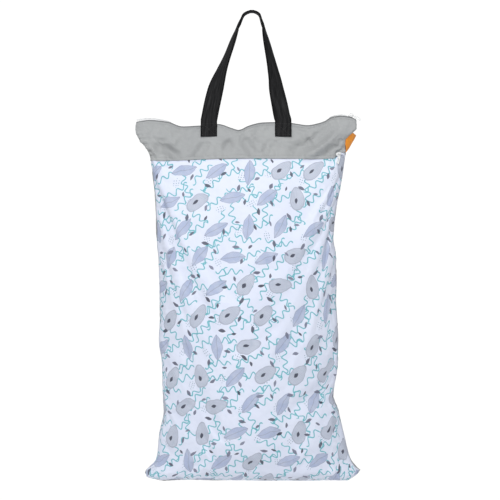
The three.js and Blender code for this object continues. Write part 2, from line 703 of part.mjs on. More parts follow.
// Slider with its bridge, lying along X with its bridge upwards, and its pull
function sliderSolid() {
  const outline = new THREE.Shape();
  outline.moveTo(-sliderLength / 2, -sliderWidth * 0.3);
  outline.lineTo(0, -sliderWidth / 2);
  outline.lineTo(sliderLength / 2, -sliderWidth / 2);
  outline.lineTo(sliderLength / 2, sliderWidth / 2);
  outline.lineTo(0, sliderWidth / 2);
  outline.lineTo(-sliderLength / 2, sliderWidth * 0.3);
  const body = new THREE.ExtrudeGeometry(outline, { depth: sliderHeight, bevelEnabled: false });
  const archEnd = sliderLength / 2;
  const archStart = archEnd - bridgeLength;
  const arch = new THREE.Shape();
  arch.moveTo(archStart, -sliderHeight / 2);
  arch.lineTo(archStart, bridgeHeight - bridgeBar);
  arch.lineTo(archStart + bridgeBar, bridgeHeight);
  arch.lineTo(archEnd - bridgeBar / 2, bridgeHeight);
  arch.lineTo(archEnd, bridgeHeight - bridgeBar / 2);
  arch.lineTo(archEnd, -sliderHeight / 2);
  const gap = new THREE.Path();
  gap.moveTo(archStart + bridgeBar, 0);
  gap.lineTo(archEnd - bridgeBar, 0);
  gap.lineTo(archEnd - bridgeBar, bridgeHeight - bridgeBar);
  gap.lineTo(archStart + bridgeBar, bridgeHeight - bridgeBar);
  arch.holes.push(gap);
  const bridge = new THREE.ExtrudeGeometry(arch, { depth: bridgeThickness, bevelEnabled: false });
  bridge.rotateX(Math.PI / 2);
  bridge.translate(0, bridgeThickness / 2, sliderHeight);
  return fromManifold(toManifold(body).add(toManifold(bridge)));
}

// Ring round the bridge's bar with the tab hanging below it, along -Z, flat towards Y
function pullSolid() {
  const ring = new THREE.TorusGeometry(ringRadius, ringWire, 6, 14);
  ring.rotateY(Math.PI / 2);
  const outline = new THREE.Shape();
  outline.moveTo(-pullWidth / 2, -pullLength);
  outline.lineTo(pullWidth / 2, -pullLength);
  outline.lineTo(pullWidth / 2, -pullWidth * 0.4);
  outline.lineTo(ringWire, 0);
  outline.lineTo(-ringWire, 0);
  outline.lineTo(-pullWidth / 2, -pullWidth * 0.4);
  const slot = new THREE.Path();
  slot.moveTo(-pullSlot / 2, -pullLength * 0.8);
  slot.lineTo(pullSlot / 2, -pullLength * 0.8);
  slot.lineTo(pullSlot / 2, -pullLength * 0.35);
  slot.lineTo(-pullSlot / 2, -pullLength * 0.35);
  outline.holes.push(slot);
  const tab = new THREE.ExtrudeGeometry(outline, { depth: pullThickness, bevelEnabled: false });
  tab.rotateX(Math.PI / 2);
  tab.translate(0, pullThickness / 2, -ringRadius);
  return fromManifold(toManifold(ring).add(toManifold(tab)));
}

function piece(name, geometry, color, roughness, metalness) {
  const mesh = new THREE.Mesh(geometry, new THREE.MeshStandardMaterial({ color, roughness, metalness }));
  mesh.name = name;
  return mesh;
}

// The slider at the mouth's right end, its pull fallen over the ear
function placeTopZip() {
  const step = 0.02;
  const place = (across) => new THREE.Vector3(mouthX(across), swayY(across), mouthZ(across) + zipClearance);
  const direction = place(topSliderAcross + step).sub(place(topSliderAcross - step));
  const group = new THREE.Group();
  group.position.copy(place(topSliderAcross));
  group.rotation.set(0, Math.atan2(-direction.z, direction.x), 0);
  group.add(piece('zip_slider', sliderSolid(), zipWhite, 0.4, 0));
  const pull = piece('zip_pull', pullSolid(), zipWhite, 0.4, 0);
  pull.position.set(sliderLength / 2 - bridgeBar / 2, 0, sliderHeight + bridgeHeight * 0.25);
  pull.rotation.set(0, THREE.MathUtils.degToRad(topPullFall - 90) - group.rotation.y, 0);
  group.add(pull);
  return group;
}

// The pocket's slider on the front, its pull hanging from the bridge
function placePocketZip() {
  const middle = joinPoint(pocketSliderAcross, 0);
  const half = sliderWidth / 2;
  const sideways = frontPoint(middle.x + half, middle.z).sub(frontPoint(middle.x - half, middle.z));
  const downward = frontPoint(middle.x, middle.z - half).sub(frontPoint(middle.x, middle.z + half));
  const normal = new THREE.Vector3().crossVectors(downward, sideways).normalize();
  const level = new THREE.Vector3().crossVectors(upwards, normal).normalize();
  const slider = piece('pocket_slider', sliderSolid(), zipWhite, 0.4, 0);
  const sliderUp = new THREE.Vector3().crossVectors(normal, level);
  slider.quaternion.setFromRotationMatrix(new THREE.Matrix4().makeBasis(level, sliderUp, normal));
  slider.position.copy(middle).addScaledVector(normal, zipClearance);
  slider.updateMatrix();
  const pull = piece('pocket_pull', pullSolid(), zipWhite, 0.4, 0);
  const inward = new THREE.Vector3().crossVectors(upwards, level);
  pull.quaternion.setFromRotationMatrix(new THREE.Matrix4().makeBasis(level, inward, upwards));
  pull.rotateY(THREE.MathUtils.degToRad(pocketPullTilt));
  const barHeight = sliderHeight + bridgeHeight - bridgeBar / 2;
  const barPlace = new THREE.Vector3((sliderLength - bridgeLength) / 2, 0, barHeight);
  pull.position.copy(barPlace.applyMatrix4(slider.matrix));
  pull.position.z -= ringRadius - ringWire - bridgeThickness / 2 - zipClearance;
  const group = new THREE.Group();
  group.add(slider, pull);
  return group;
}

const bag = new THREE.Group();
bag.add(piece('band_front', bandSolid(), bandGrey, 0.7, 0));
bag.add(piece('panel_front', printSolid(), printWhite, 0.6, 0));
bag.add(piece('panel_back', backSolid(), bandGrey, 0.7, 0));
bag.add(piece('zip_tape_front', tapeSolid(-1), zipWhite, 0.8, 0));
bag.add(piece('zip_tape_back', tapeSolid(1), zipWhite, 0.8, 0));
bag.add(piece('zip_coil', coilSolid(), zipWhite, 0.4, 0));
bag.add(piece('pocket_zip_coil', pocketCoilSolid(), zipWhite, 0.4, 0));
bag.add(piece('pocket_zip_tape', pocketTapeSolid(), zipWhite, 0.8, 0));
bag.add(placeTopZip());
bag.add(placePocketZip());
bag.add(piece('strap', strapSolid(), strapBlack, 0.8, 0));
bag.add(piece('side_tag', tagSolid(), tagOrange, 0.7, 0));

export default bag;
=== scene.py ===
# Hanging cloth wet bag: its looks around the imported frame.
# Metres, +Z up, the front faces -Y. The origin is the underside of the strap at its top.
import math

import bmesh
import bpy
import numpy as np
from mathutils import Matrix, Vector


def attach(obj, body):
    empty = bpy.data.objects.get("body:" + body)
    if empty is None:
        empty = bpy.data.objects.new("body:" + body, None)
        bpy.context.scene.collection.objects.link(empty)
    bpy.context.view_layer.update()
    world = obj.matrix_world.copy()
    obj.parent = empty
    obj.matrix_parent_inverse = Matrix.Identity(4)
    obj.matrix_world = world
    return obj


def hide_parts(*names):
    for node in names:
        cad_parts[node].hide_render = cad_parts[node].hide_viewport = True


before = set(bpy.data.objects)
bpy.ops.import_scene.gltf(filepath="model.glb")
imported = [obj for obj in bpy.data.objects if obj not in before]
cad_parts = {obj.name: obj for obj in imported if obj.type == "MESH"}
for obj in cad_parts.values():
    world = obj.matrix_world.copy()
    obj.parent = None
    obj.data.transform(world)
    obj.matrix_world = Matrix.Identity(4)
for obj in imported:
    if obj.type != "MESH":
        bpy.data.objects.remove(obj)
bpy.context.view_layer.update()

scene = bpy.context.scene

# The camera stands level in front of the bag
cameraPlace = {"away": 3.0, "x": -0.0036, "z": -0.433, "framed": 0.910, "sensor": 0.036}


def makeCamera():
    data = bpy.data.cameras.new("viewCamera")
    data.sensor_width = cameraPlace["sensor"] * 1000
    data.lens = data.sensor_width * cameraPlace["away"] / cameraPlace["framed"]
    camera = bpy.data.objects.new("viewCamera", data)
    camera.location = (cameraPlace["x"], -cameraPlace["away"], cameraPlace["z"])
    camera.rotation_euler = (math.pi / 2, 0, 0)
    scene.collection.objects.link(camera)
    scene.camera = camera


makeCamera()
print("camera placed")


def addNode(tree, kind, settings=None, inputs=None):
    node = tree.nodes.new(kind)
    for name, value in (settings or {}).items():
        setattr(node, name, value)
    pairs = inputs.items() if isinstance(inputs, dict) else enumerate(inputs or [])
    for key, value in pairs:
        if value is None:
            continue
        if isinstance(value, Number):
            value = value.socket
        if isinstance(value, bpy.types.NodeSocket):
            tree.links.new(value, node.inputs[key])
        else:
            node.inputs[key].default_value = value
    return node


class Number:
    # one number of a node tree, with the arithmetic that the patterns use
    def __init__(self, tree, socket):
        self.tree = tree
        self.socket = socket

    def math(self, operation, *others):
        node = addNode(self.tree, "ShaderNodeMath", {"operation": operation}, [self, *others])
        return Number(self.tree, node.outputs[0])

    def __add__(self, other):
        return self.math("ADD", other)

    __radd__ = __add__

    def __mul__(self, other):
        return self.math("MULTIPLY", other)

    __rmul__ = __mul__

    def __sub__(self, other):
        return self.math("SUBTRACT", other)

    def __rsub__(self, other):
        return self * -1 + other

    def __truediv__(self, other):
        return self.math("DIVIDE", other)

    def __abs__(self):
        return self.math("ABSOLUTE")

    def floor(self):
        return self.math("FLOOR")

    def sine(self):
        return self.math("SINE")

    def root(self):
        return self.math("SQRT")

    def atMost(self, other):
        return self.math("MINIMUM", other)

    def atLeast(self, other):
        return self.math("MAXIMUM", other)

    def clamped(self):
        return self.atMost(1.0).atLeast(0.0)


def linear(color):
    # colour as it is seen on a screen, 0 to 255, to the renderer's own scale
    parts = [part / 255 for part in color]
    return (*[p / 12.92 if p < 0.04045 else ((p + 0.055) / 1.055) ** 2.4 for p in parts], 1.0)


class Surface:
    # a material with its shader and the few nodes that all of them need
    def __init__(self, name, settings):
        self.material = bpy.data.materials.new(name)
        self.material.use_nodes = True
        self.tree = self.material.node_tree
        self.shader = self.tree.nodes["Principled BSDF"]
        for socket, value in settings.items():
            self.shader.inputs[socket].default_value = value

    def node(self, kind, settings=None, inputs=None):
        return addNode(self.tree, kind, settings, inputs)

    def number(self, socket):
        return Number(self.tree, socket)

    def place(self):
        return self.node("ShaderNodeTexCoord").outputs["Object"]

    def parts(self, vector):
        return [self.number(out) for out in self.node("ShaderNodeSeparateXYZ", inputs=[vector]).outputs]

    def flat(self):
        # u and v of the cloth laid flat, in metres, and both as a vector
        uv = self.node("ShaderNodeUVMap", {"uv_map": "flat"}).outputs[0]
        u, v = self.parts(uv)[:2]
        return u, v, uv

    def noise(self, vector, scale, detail=2.0):
        inputs = {"Vector": vector, "Scale": scale, "Detail": detail}
        return self.number(self.node("ShaderNodeTexNoise", inputs=inputs).outputs[0])

    def mix(self, factor, first, second):
        # each colour is a socket, or red, green and blue from 0 to 255
        first, second = [linear(c) if isinstance(c, tuple) else c for c in (first, second)]
        return self.node("ShaderNodeMix", {"data_type": "RGBA"}, {0: factor, 6: first, 7: second}).outputs[2]

    def feed(self, socket, value):
        source = value.socket if isinstance(value, Number) else value
        self.tree.links.new(source, self.shader.inputs[socket])

    def bump(self, height, distance, strength=1.0):
        node = self.node("ShaderNodeBump", inputs={"Strength": strength, "Distance": distance, "Height": height})
        self.tree.links.new(node.outputs[0], self.shader.inputs["Normal"])


# edge is painted shadow: a dark line along the cloth's top edge, where the gap under the zip lies in shade
greyFinish = {
    "plain": (172, 174, 174), "worn": (160, 162, 164), "edge": (92, 94, 96), "topShadowWide": 0.0026,
    "topShadowSoft": 0.0009, "topShadowShare": 0.75, "weave": 1500.0, "mottle": 14.0, "fine": 420.0,
}


def greyCloth():
    s = Surface("greyCloth", {"Sheen Weight": 0.25, "Sheen Roughness": 0.5, "Specular IOR Level": 0.35})
    f = greyFinish
    place = s.place()
    mottle = s.noise(place, f["mottle"], 3.0)
    fine = s.noise(place, f["fine"])
    shade = (mottle * 0.7 + fine * 0.3 - 0.35) * 1.6
    # painted shadow: the top edge is darker, as the shaded gap under the zip
    edge = ((s.flat()[1] + f["topShadowWide"]) / f["topShadowSoft"]).clamped()
    color = s.mix(shade.clamped(), f["plain"], f["worn"])
    s.feed("Base Color", s.mix(edge * f["topShadowShare"], color, f["edge"]))
    across, down = [(s.parts(place)[axis] * (f["weave"] * math.pi)).sine() for axis in (0, 2)]
    s.feed("Roughness", 0.58 + mottle * 0.12)
    s.bump(across * down * 0.3 + fine, 0.00012, 0.5)
    return s.material


printFinish = {
    "ground": (236, 241, 255), "shade": (224, 231, 251), "pebble": (194, 201, 217), "pale": (212, 218, 232),
    "leaf": (178, 190, 220), "line": (132, 136, 158), "dark": (56, 59, 78), "teal": (104, 187, 199),
    "speck": (120, 150, 170), "hem": (243, 248, 255), "hemWide": 0.0016,
    "pitchAcross": 0.060, "pitchDown": 0.053,
    "bodyHalf": 0.0222, "bodyWide": 0.0128, "soft": 0.0004,
    "waveHigh": 0.0052, "waveLong": 0.0165, "waveHalf": 0.0250, "waveLine": 0.00108,
    "dotPitch": 0.0042, "dotHalf": 0.0009, "clusterHalf": 0.0085, "handScale": 70.0, "handSway": 0.004,
    # shifts across and down of each layer, its chance's seed, and its turn or size
    "waves": ((0.030, 0.0, 3.0, 1.0), (0.0, 0.0265, 11.0, 6.3), (0.015, 0.040, 19.0, 2.2)),
    "seeds": ((0.016, 0.031, 31.0, 0.0070), (0.041, 0.009, 43.0, 0.0060), (0.052, 0.040, 57.0, 0.0050)),
}


def printedCloth():
    s = Surface("printedCloth", {"Sheen Weight": 0.15, "Sheen Roughness": 0.5, "Specular IOR Level": 0.35})
    f = printFinish
    flatU, flatV, uv = s.flat()
    # the drawing's lines waver as by hand
    shifted = s.node("ShaderNodeMapping", inputs={"Vector": uv, "Location": (3.1, 1.7, 0.0)}).outputs[0]
    hands = [(s.noise(vector, f["handScale"], 1.0) - 0.5) * f["handSway"] for vector in (uv, shifted)]
    u, v = flatU + hands[0], flatV + hands[1]
    wash = s.noise(uv, 60.0, 3.0)
    tint = s.noise(uv, 9.0, 2.0)

    def cells(shiftAcross, shiftDown, seed, astray, turn=math.pi * 2, steady=False):
        # place inside the cell of a brick pattern, moved and turned by chance, and its first two chances
        atU, atV = (flatU, flatV) if steady else (u, v)
        row = ((flatV + shiftDown) / f["pitchDown"]).floor()
        column = ((flatU + shiftAcross) / f["pitchAcross"] + row * 0.5).floor()
        spot = s.node("ShaderNodeCombineXYZ", inputs=[column + seed, row + seed * 0.37, 0.0]).outputs[0]
        chance = s.node("ShaderNodeTexWhiteNoise", {"noise_dimensions": "3D"}, {"Vector": spot})
        rgb = s.node("ShaderNodeSeparateColor", inputs=[chance.outputs["Color"]])
        first, second, third = [s.number(out) for out in rgb.outputs]
        x = atU + shiftAcross - (column + 0.5 - row * 0.5) * f["pitchAcross"] + (first - 0.5) * astray
        y = atV + shiftDown - (row + 0.5) * f["pitchDown"] + (second - 0.5) * astray
        angle = third * turn
        cosine, sine = angle.math("COSINE"), angle.sine()
        return x * cosine + y * sine, y * cosine - x * sine, first, second

    def inside(depth, soft=f["soft"]):
        # 1 where depth, in metres, is above zero
        return (depth / soft + 0.5).clamped()

    def leafDepth(x, y, half, wide):
        return (1 - (x / half) * (x / half)) * wide - abs(y)

    color = s.mix((wash * 0.6 + tint * 0.6 - 0.1).clamped(), f["shade"], f["ground"])

    # teal waves, behind everything else
    for shiftAcross, shiftDown, seed, turn in f["waves"]:
        x, y, first, second = cells(shiftAcross, shiftDown, seed, 0.010, turn, True)
        swing = math.pi * 2 / f["waveLong"]
        bent = y + (x * x) * ((second - 0.5) * 30)
        grow = 0.6 + 0.4 * (1 - abs(x) / f["waveHalf"])
        curve = (x * swing).sine() * f["waveHigh"] * grow
        steep = (x * swing).math("COSINE") * (f["waveHigh"] * swing) * grow
        away = abs(bent - curve) / (steep * steep + 1).root()
        line = inside(f["waveLine"] - away) * inside(f["waveHalf"] - abs(x))
        color = s.mix(line * 0.92, color, f["teal"])

    # clusters of small dots
    x, y = cells(0.014, 0.011, 23.0, 0.02)[:2]
    dotX, dotY = [at / f["dotPitch"] - (at / f["dotPitch"] + 0.5).floor() for at in (x, y)]
    dots = inside(f["dotHalf"] - (dotX * dotX + dotY * dotY).root() * f["dotPitch"])
    near = inside(f["clusterHalf"] - (x * x + y * y * 2.5).root(), 0.001)
    color = s.mix(dots * near * 0.85, color, f["speck"])

    # pebbles and long leaves
    x, y, first = cells(0.0, 0.0, 7.0, 0.008, 1.9)[:3]
    half, wide = f["bodyHalf"], f["bodyWide"]
    isPebble = inside(first - 0.5, 0.001)
    girth = wide - x * 0.14
    oval = ((x / half) * (x / half) + (y / girth) * (y / girth)).root()
    pebble = (1 - oval) * wide * 0.86
    leaf = leafDepth(x, y, half * 1.06, wide * 0.80)
    body = isPebble * pebble + (1 - isPebble) * leaf
    stripes = ((y + x * 0.2) * 2600.0).sine()
    veins = ((abs(y) * 1.2 - x) * 2100.0).sine()
    marks = isPebble * stripes + (1 - isPebble) * veins
    fill = s.mix(isPebble, f["leaf"], f["pebble"])
    fill = s.mix(((wash - 0.40) * 1.8).clamped(), fill, f["pale"])
    fill = s.mix(inside(marks - 0.84, 0.1) * 0.4, fill, f["line"])
    fill = s.mix(inside(0.0006 - abs(body - 0.0005)) * 0.4, fill, f["line"])
    rib = inside(0.0005 - abs(y)) * (1 - isPebble)
    fill = s.mix(rib * 0.6, fill, f["line"])
    color = s.mix(inside(body) * 0.95, color, fill)
    spot = leafDepth(x + 0.004, y - 0.002, 0.0056, 0.0028)
    color = s.mix(inside(spot) * isPebble * 0.92, color, f["dark"])

    # dark seeds
    for shiftAcross, shiftDown, seed, size in f["seeds"]:
        x, y, first, second = cells(shiftAcross, shiftDown, seed, 0.018)
        seedShape = leafDepth(x, y, size, size * 0.42)
        shown = inside(first - 0.15, 0.001)
        color = s.mix(inside(seedShape) * shown * 0.94, color, s.mix(second, f["dark"], f["line"]))

    color = s.mix(inside(flatV + f["hemWide"]), color, f["hem"])
    s.feed("Base Color", color)
    s.feed("Roughness", 0.5 + wash * 0.14)
    fine = s.noise(s.place(), 420.0, 2.0)
    s.bump(fine, 0.00012, 0.45)
    return s.material


# gap is painted shade: the darkness in the weave's hollows and along the strap's edges
webbingFinish = {
    "yarn": (27, 27, 28), "gap": (5, 5, 6), "worn": (47, 47, 48), "shadedEdge": 0.0108, "shadedEdgeWide": 0.003,
    "rib": 0.0019, "pick": 0.0013,
}


def webbing():
    s = Surface("webbing", {"Specular IOR Level": 0.14})
    f = webbingFinish
    u, v, uv = s.flat()
    rib = abs((u * (math.pi / f["rib"])).sine())
    pick = abs(((abs(u) * 1.1 + v) * (math.pi / f["pick"])).sine())
    height = rib * 0.6 + pick * 0.4
    dust = s.noise(uv, 160.0, 3.0)
    stretched = s.node("ShaderNodeCombineXYZ", inputs=[u * 420.0, v * 26.0, 0.0]).outputs[0]
    streak = s.noise(stretched, 1.0)
    # painted shade: the weave's hollows are darker than its raised yarns
    base = s.mix((height * 1.3 - 0.2).clamped(), f["gap"], f["yarn"])
    # lighter lengthwise streaks and patches, laid by noise
    base = s.mix(((streak - 0.42) * 3.4 + dust * 0.3).clamped(), base, f["worn"])
    # painted shade: both edges of the strap are darker, where its rounded edges turn away from the light
    shadedEdge = ((abs(u) - f["shadedEdge"]) / f["shadedEdgeWide"]).clamped()
    s.feed("Base Color", s.mix(shadedEdge * 0.85, base, f["gap"]))
    s.feed("Roughness", 0.66 + dust * 0.2)
    s.bump(height, 0.0004, 0.8)
    return s.material


ribbonFinish = {"bright": (255, 166, 40), "deep": (240, 138, 30), "rib": 0.0011}


def tagRibbon():
    s = Surface("tagRibbon", {"Sheen Weight": 0.3, "Sheen Roughness": 0.4})
    u, v, uv = s.flat()
    rib = abs((v * (math.pi / ribbonFinish["rib"])).sine())
    wear = s.noise(uv, 120.0, 3.0)
    s.feed("Base Color", s.mix((rib * 0.35 + wear * 0.4).clamped(), ribbonFinish["bright"], ribbonFinish["deep"]))
    s.feed("Roughness", 0.42 + wear * 0.2)
    s.bump(rib, 0.00015, 0.6)
    return s.material


tapeFinish = {"light": (248, 248, 247), "soilAndShade": (222, 224, 226), "knitAcross": 0.0012, "knitDown": 0.0009}


def zipTape():
    s = Surface("zipTape", {"Sheen Weight": 0.2, "Sheen Roughness": 0.5})
    f = tapeFinish
    u, v, uv = s.flat()
    knit = abs((u * (math.pi / f["knitAcross"])).sine()) * 0.6 + abs((v * (math.pi / f["knitDown"])).sine()) * 0.4
    soil = s.noise(uv, 70.0, 3.0)
    # random soil, and painted shade in the hollows between the knit's loops
    s.feed("Base Color", s.mix((soil * 0.6 + (1 - knit) * 0.3).clamped(), f["light"], f["soilAndShade"]))
    s.feed("Roughness", 0.62 + soil * 0.2)
    s.bump(knit, 0.0002, 0.7)
    return s.material


def grained(name, settings, scale, light, dark, smoothest, rougher, high, strength):
    # two close colours in fine grains
    s = Surface(name, settings)
    grain = s.noise(s.place(), scale)
    s.feed("Base Color", s.mix(grain, light, dark))
    s.feed("Roughness", smoothest + grain * rougher)
    s.bump(grain, high, strength)
    return s.material


def nylon():
    return grained(
        "nylonCoil", {"Specular IOR Level": 0.5}, 260.0, (247, 248, 248), (226, 229, 231), 0.28, 0.16, 0.00005, 0.4)


def paintedMetal():
    s = Surface("paintedMetal", {"Coat Roughness": 0.15, "Specular IOR Level": 0.5})
    place = s.place()
    cloud = s.noise(place, 300.0, 3.0)
    edge = s.node("ShaderNodeNewGeometry").outputs["Pointiness"]
    worn = ((s.number(edge) - 0.53) * 14 * cloud).clamped()
    s.feed("Base Color", s.mix(worn * 0.7, (240, 241, 240), (150, 151, 153)))
    s.feed("Metallic", worn * 0.6)
    s.feed("Roughness", 0.26 + cloud * 0.2)
    s.bump(cloud, 0.00004, 0.5)
    return s.material


def thread(name, light, dark):
    return grained(name, {"Sheen Weight": 0.2, "Sheen Roughness": 0.4}, 1900.0, light, dark, 0.55, 0.2, 0.0001, 0.6)


looks = {
    "grey": greyCloth(), "print": printedCloth(), "webbing": webbing(), "ribbon": tagRibbon(),
    "tape": zipTape(), "nylon": nylon(), "metal": paintedMetal(),
    "greyThread": thread("greyThread", (176, 178, 178), (128, 130, 131)),
    "whiteThread": thread("whiteThread", (238, 240, 246), (196, 199, 208)),
    "blackThread": thread("blackThread", (58, 58, 60), (22, 22, 23)),
}
print("materials made")

# The pouch's form, from the same sizes as its solids
pouch = {
    "width": 0.400, "bandHeight": 0.067, "printHeight": 0.585, "shift": -0.008, "mouthLevel": -0.200,
    "frontFullness": 0.064, "backFullness": 0.058, "mouthThickness": 0.0076, "seamHalf": 0.00135,
    "hem": 0.012, "earRise": 0.0106, "flapRise": 0.0105, "tipRise": 0.019, "sway": 0.006,
    "fullestAt": 0.65, "fillCurve": 2.7, "bottomRoundFrom": 0.8, "sideCurve": 2.2, "sideBluntness": 0.6,
    "columns": 72, "bandRows": 14, "printRows": 112, "backRows": 126, "thickness": 0.0009,
}
pouch["height"] = pouch["bandHeight"] + pouch["printHeight"]
joinLevel = pouch["mouthLevel"] - pouch["bandHeight"]
bottomLevel = pouch["mouthLevel"] - pouch["height"]

# share of the height below the mouth, and how far the left and right seams lie out
sideOutline = np.array([
    (-0.011, 0.993, 0.977), (-0.003, 1.008, 0.989), (0.020, 1.015, 0.988), (0.031, 1.010, 0.950),
    (0.040, 0.995, 0.914), (0.053, 0.974, 0.884), (0.067, 0.937, 0.885), (0.084, 0.906, 0.890),
    (0.100, 0.888, 0.882), (0.190, 0.843, 0.841), (0.246, 0.833, 0.804), (0.324, 0.822, 0.779),
    (0.385, 0.811, 0.804), (0.497, 0.797, 0.806), (0.608, 0.804, 0.823), (0.664, 0.783, 0.823),
    (0.762, 0.767, 0.777), (0.803, 0.761, 0.823), (0.859, 0.797, 0.868), (0.943, 0.833, 0.941),
    (0.960, 0.883, 0.977), (0.971, 0.915, 1.021), (0.979, 0.929, 1.023), (1.000, 0.929, 1.023),
])
# share across the mouth, rise of the band's edge, height of the zip above it, sway to the back
mouthLine = np.array([
    (-1.00, 0.00, 1.0, -0.6), (-0.88, 0.29, 0.9, -0.4), (-0.72, 0.03, 0.5, 0.1), (-0.58, -0.76, -0.6, 0.5),
    (-0.43, -0.62, -0.6, 0.5), (-0.26, -0.36, -0.6, 0.1), (-0.13, -1.09, -0.6, -0.4), (-0.07, -1.41, -0.6, -0.6),
    (0.02, -0.69, -0.6, -0.5), (0.15, -0.10, -0.6, 0.25), (0.33, 0.00, -0.6, 0.45), (0.46, -0.31, -0.6, 0.5),
    (0.56, -0.55, -0.6, 0.4), (0.64, -0.31, -0.6, 0.1), (0.71, 0.09, -0.2, -0.2), (0.78, 0.81, 0.5, -0.5),
    (0.86, 1.00, 0.6, -0.9), (0.95, 0.78, 0.4, -1.0), (1.00, 0.35, 0.3, -1.0),
])
joinLine = np.array([
    (-1.000, -0.33), (-0.750, -0.22), (-0.400, 0.00), (0.000, 0.14), (0.870, 0.07), (0.920, 0.70),
    (0.955, 1.00), (1.000, 0.95),
])
bottomLine = np.array([
    (-1.000, 0.71), (-0.980, 0.36), (-0.920, 0.17), (-0.820, 0.00), (0.870, 0.00), (0.925, 0.24),
    (0.980, 0.62), (1.000, 1.00),
])


def readTable(table, column, at):
    # smooth value of a column between its rows, without overshoot
    keys, values = table[:, 0], table[:, column]
    slopes = np.diff(values) / np.diff(keys)
    before, after = slopes[:-1], slopes[1:]
    total = np.where(before + after == 0, 1, before + after)
    inner = np.where(before * after > 0, 2 * before * after / total, 0)
    tangents = np.concatenate([slopes[:1], inner, slopes[-1:]])
    at = np.clip(at, keys[0], keys[-1])
    row = np.clip(np.searchsorted(keys, at, side="right") - 1, 0, len(keys) - 2)
    span = keys[row + 1] - keys[row]
    t = (at - keys[row]) / span
    start = 2 * t**3 - 3 * t**2 + 1
    bend = (t**3 - 2 * t**2 + t) * tangents[row] + (t**3 - t**2) * tangents[row + 1]
    return start * values[row] + (1 - start) * values[row + 1] + span * bend


def smooth(t):
    t = np.clip(t, 0, 1)
    return t * t * (3 - 2 * t)


def sideX(side, z):
    share = readTable(sideOutline, 1 if side < 0 else 2, (pouch["mouthLevel"] - z) / pouch["height"])
    return pouch["shift"] + side * share * pouch["width"] / 2


def mouthZ(across):
    return pouch["mouthLevel"] + pouch["earRise"] * readTable(mouthLine, 1, across)


def joinZ(across):
    return joinLevel + pouch["flapRise"] * readTable(joinLine, 1, across)


def bottomZ(across):
    return bottomLevel + pouch["tipRise"] * readTable(bottomLine, 1, across)


def swayY(across):
    return pouch["sway"] * readTable(mouthLine, 3, across)


def seamPlane(across, down, topLine, lowLine):
    # x and z in the plane of the side seams, for shares across and down between two lines
    z = topLine(across) + (lowLine(across) - topLine(across)) * down
    ends = np.ones_like(across)
    leftZ = topLine(-ends) + (lowLine(-ends) - topLine(-ends)) * down
    rightZ = topLine(ends) + (lowLine(ends) - topLine(ends)) * down
    left, right = sideX(-1, leftZ), sideX(1, rightZ)
    return left + (right - left) * (across + 1) / 2, z


def wallY(side, x, z):
    # the filled wall before its folds: -1 is the front, 1 the back
    left, right = sideX(-1, z), sideX(1, z)
    across = np.clip((2 * x - left - right) / (right - left), -1, 1)
    top, low = mouthZ(across), bottomZ(across)
    down = np.clip((top - z) / (top - low), 0, 1)
    belowHem = np.clip((top - pouch["hem"] - z) / (top - pouch["hem"] - low), 0, 1)
    rise = 1 - (1 - np.minimum(1, belowHem / pouch["fullestAt"])) ** pouch["fillCurve"]
    intoRound = np.clip((down - pouch["bottomRoundFrom"]) / (1 - pouch["bottomRoundFrom"]), 0, 1)
    section = (1 - np.abs(across) ** pouch["sideCurve"]) ** pouch["sideBluntness"]
    fullness = pouch["frontFullness"] if side < 0 else pouch["backFullness"]
    pillow = fullness * rise * np.sqrt(1 - intoRound**2) * section
    mouth = (pouch["mouthThickness"] / 2 - pouch["seamHalf"]) * (1 - np.abs(across) ** 100) * (1 - down**8)
    sway = swayY(across) * (1 - smooth(down * 4))
    return sway + side * (pouch["seamHalf"] + pillow + mouth), pillow


# Folds: x and z of both ends in the plane of the seams, depth and half width.
# A negative depth stands out.
bandFolds = [
    (-0.164, -0.242, -0.133, -0.262, 0.0056, 0.0085), (-0.191, -0.219, -0.157, -0.266, 0.0024, 0.0060),
    (-0.026, -0.217, -0.050, -0.251, 0.0036, 0.0080), (-0.026, -0.217, 0.005, -0.259, 0.0032, 0.0090),
    (-0.081, -0.236, -0.106, -0.268, 0.0022, 0.0090), (0.044, -0.233, 0.027, -0.262, 0.0022, 0.0090),
    (0.071, -0.256, 0.154, -0.205, 0.0046, 0.0110), (0.098, -0.263, 0.159, -0.223, -0.0030, 0.0100),
    (0.184, -0.194, 0.175, -0.215, 0.0038, 0.0060),
    (0.019, -0.256, 0.031, -0.232, 0.0020, 0.0040), (-0.174, -0.236, -0.150, -0.232, 0.0010, 0.0030),
    (-0.182, -0.213, -0.160, -0.207, 0.0012, 0.0040), (0.150, -0.262, 0.174, -0.243, 0.0026, 0.0040),
    (-0.101, -0.232, -0.062, -0.233, 0.0009, 0.0020), (-0.099, -0.239, -0.066, -0.238, 0.0007, 0.0022),
    (0.040, -0.232, 0.076, -0.231, 0.0009, 0.0020), (0.044, -0.238, 0.073, -0.239, 0.0007, 0.0022),
    (-0.118, -0.214, -0.136, -0.246, 0.0012, 0.0050), (0.088, -0.216, 0.112, -0.250, 0.0014, 0.0060),
    (-0.012, -0.214, 0.020, -0.236, 0.0014, 0.0040), (-0.036, -0.212, -0.058, -0.228, 0.0013, 0.0040),
]
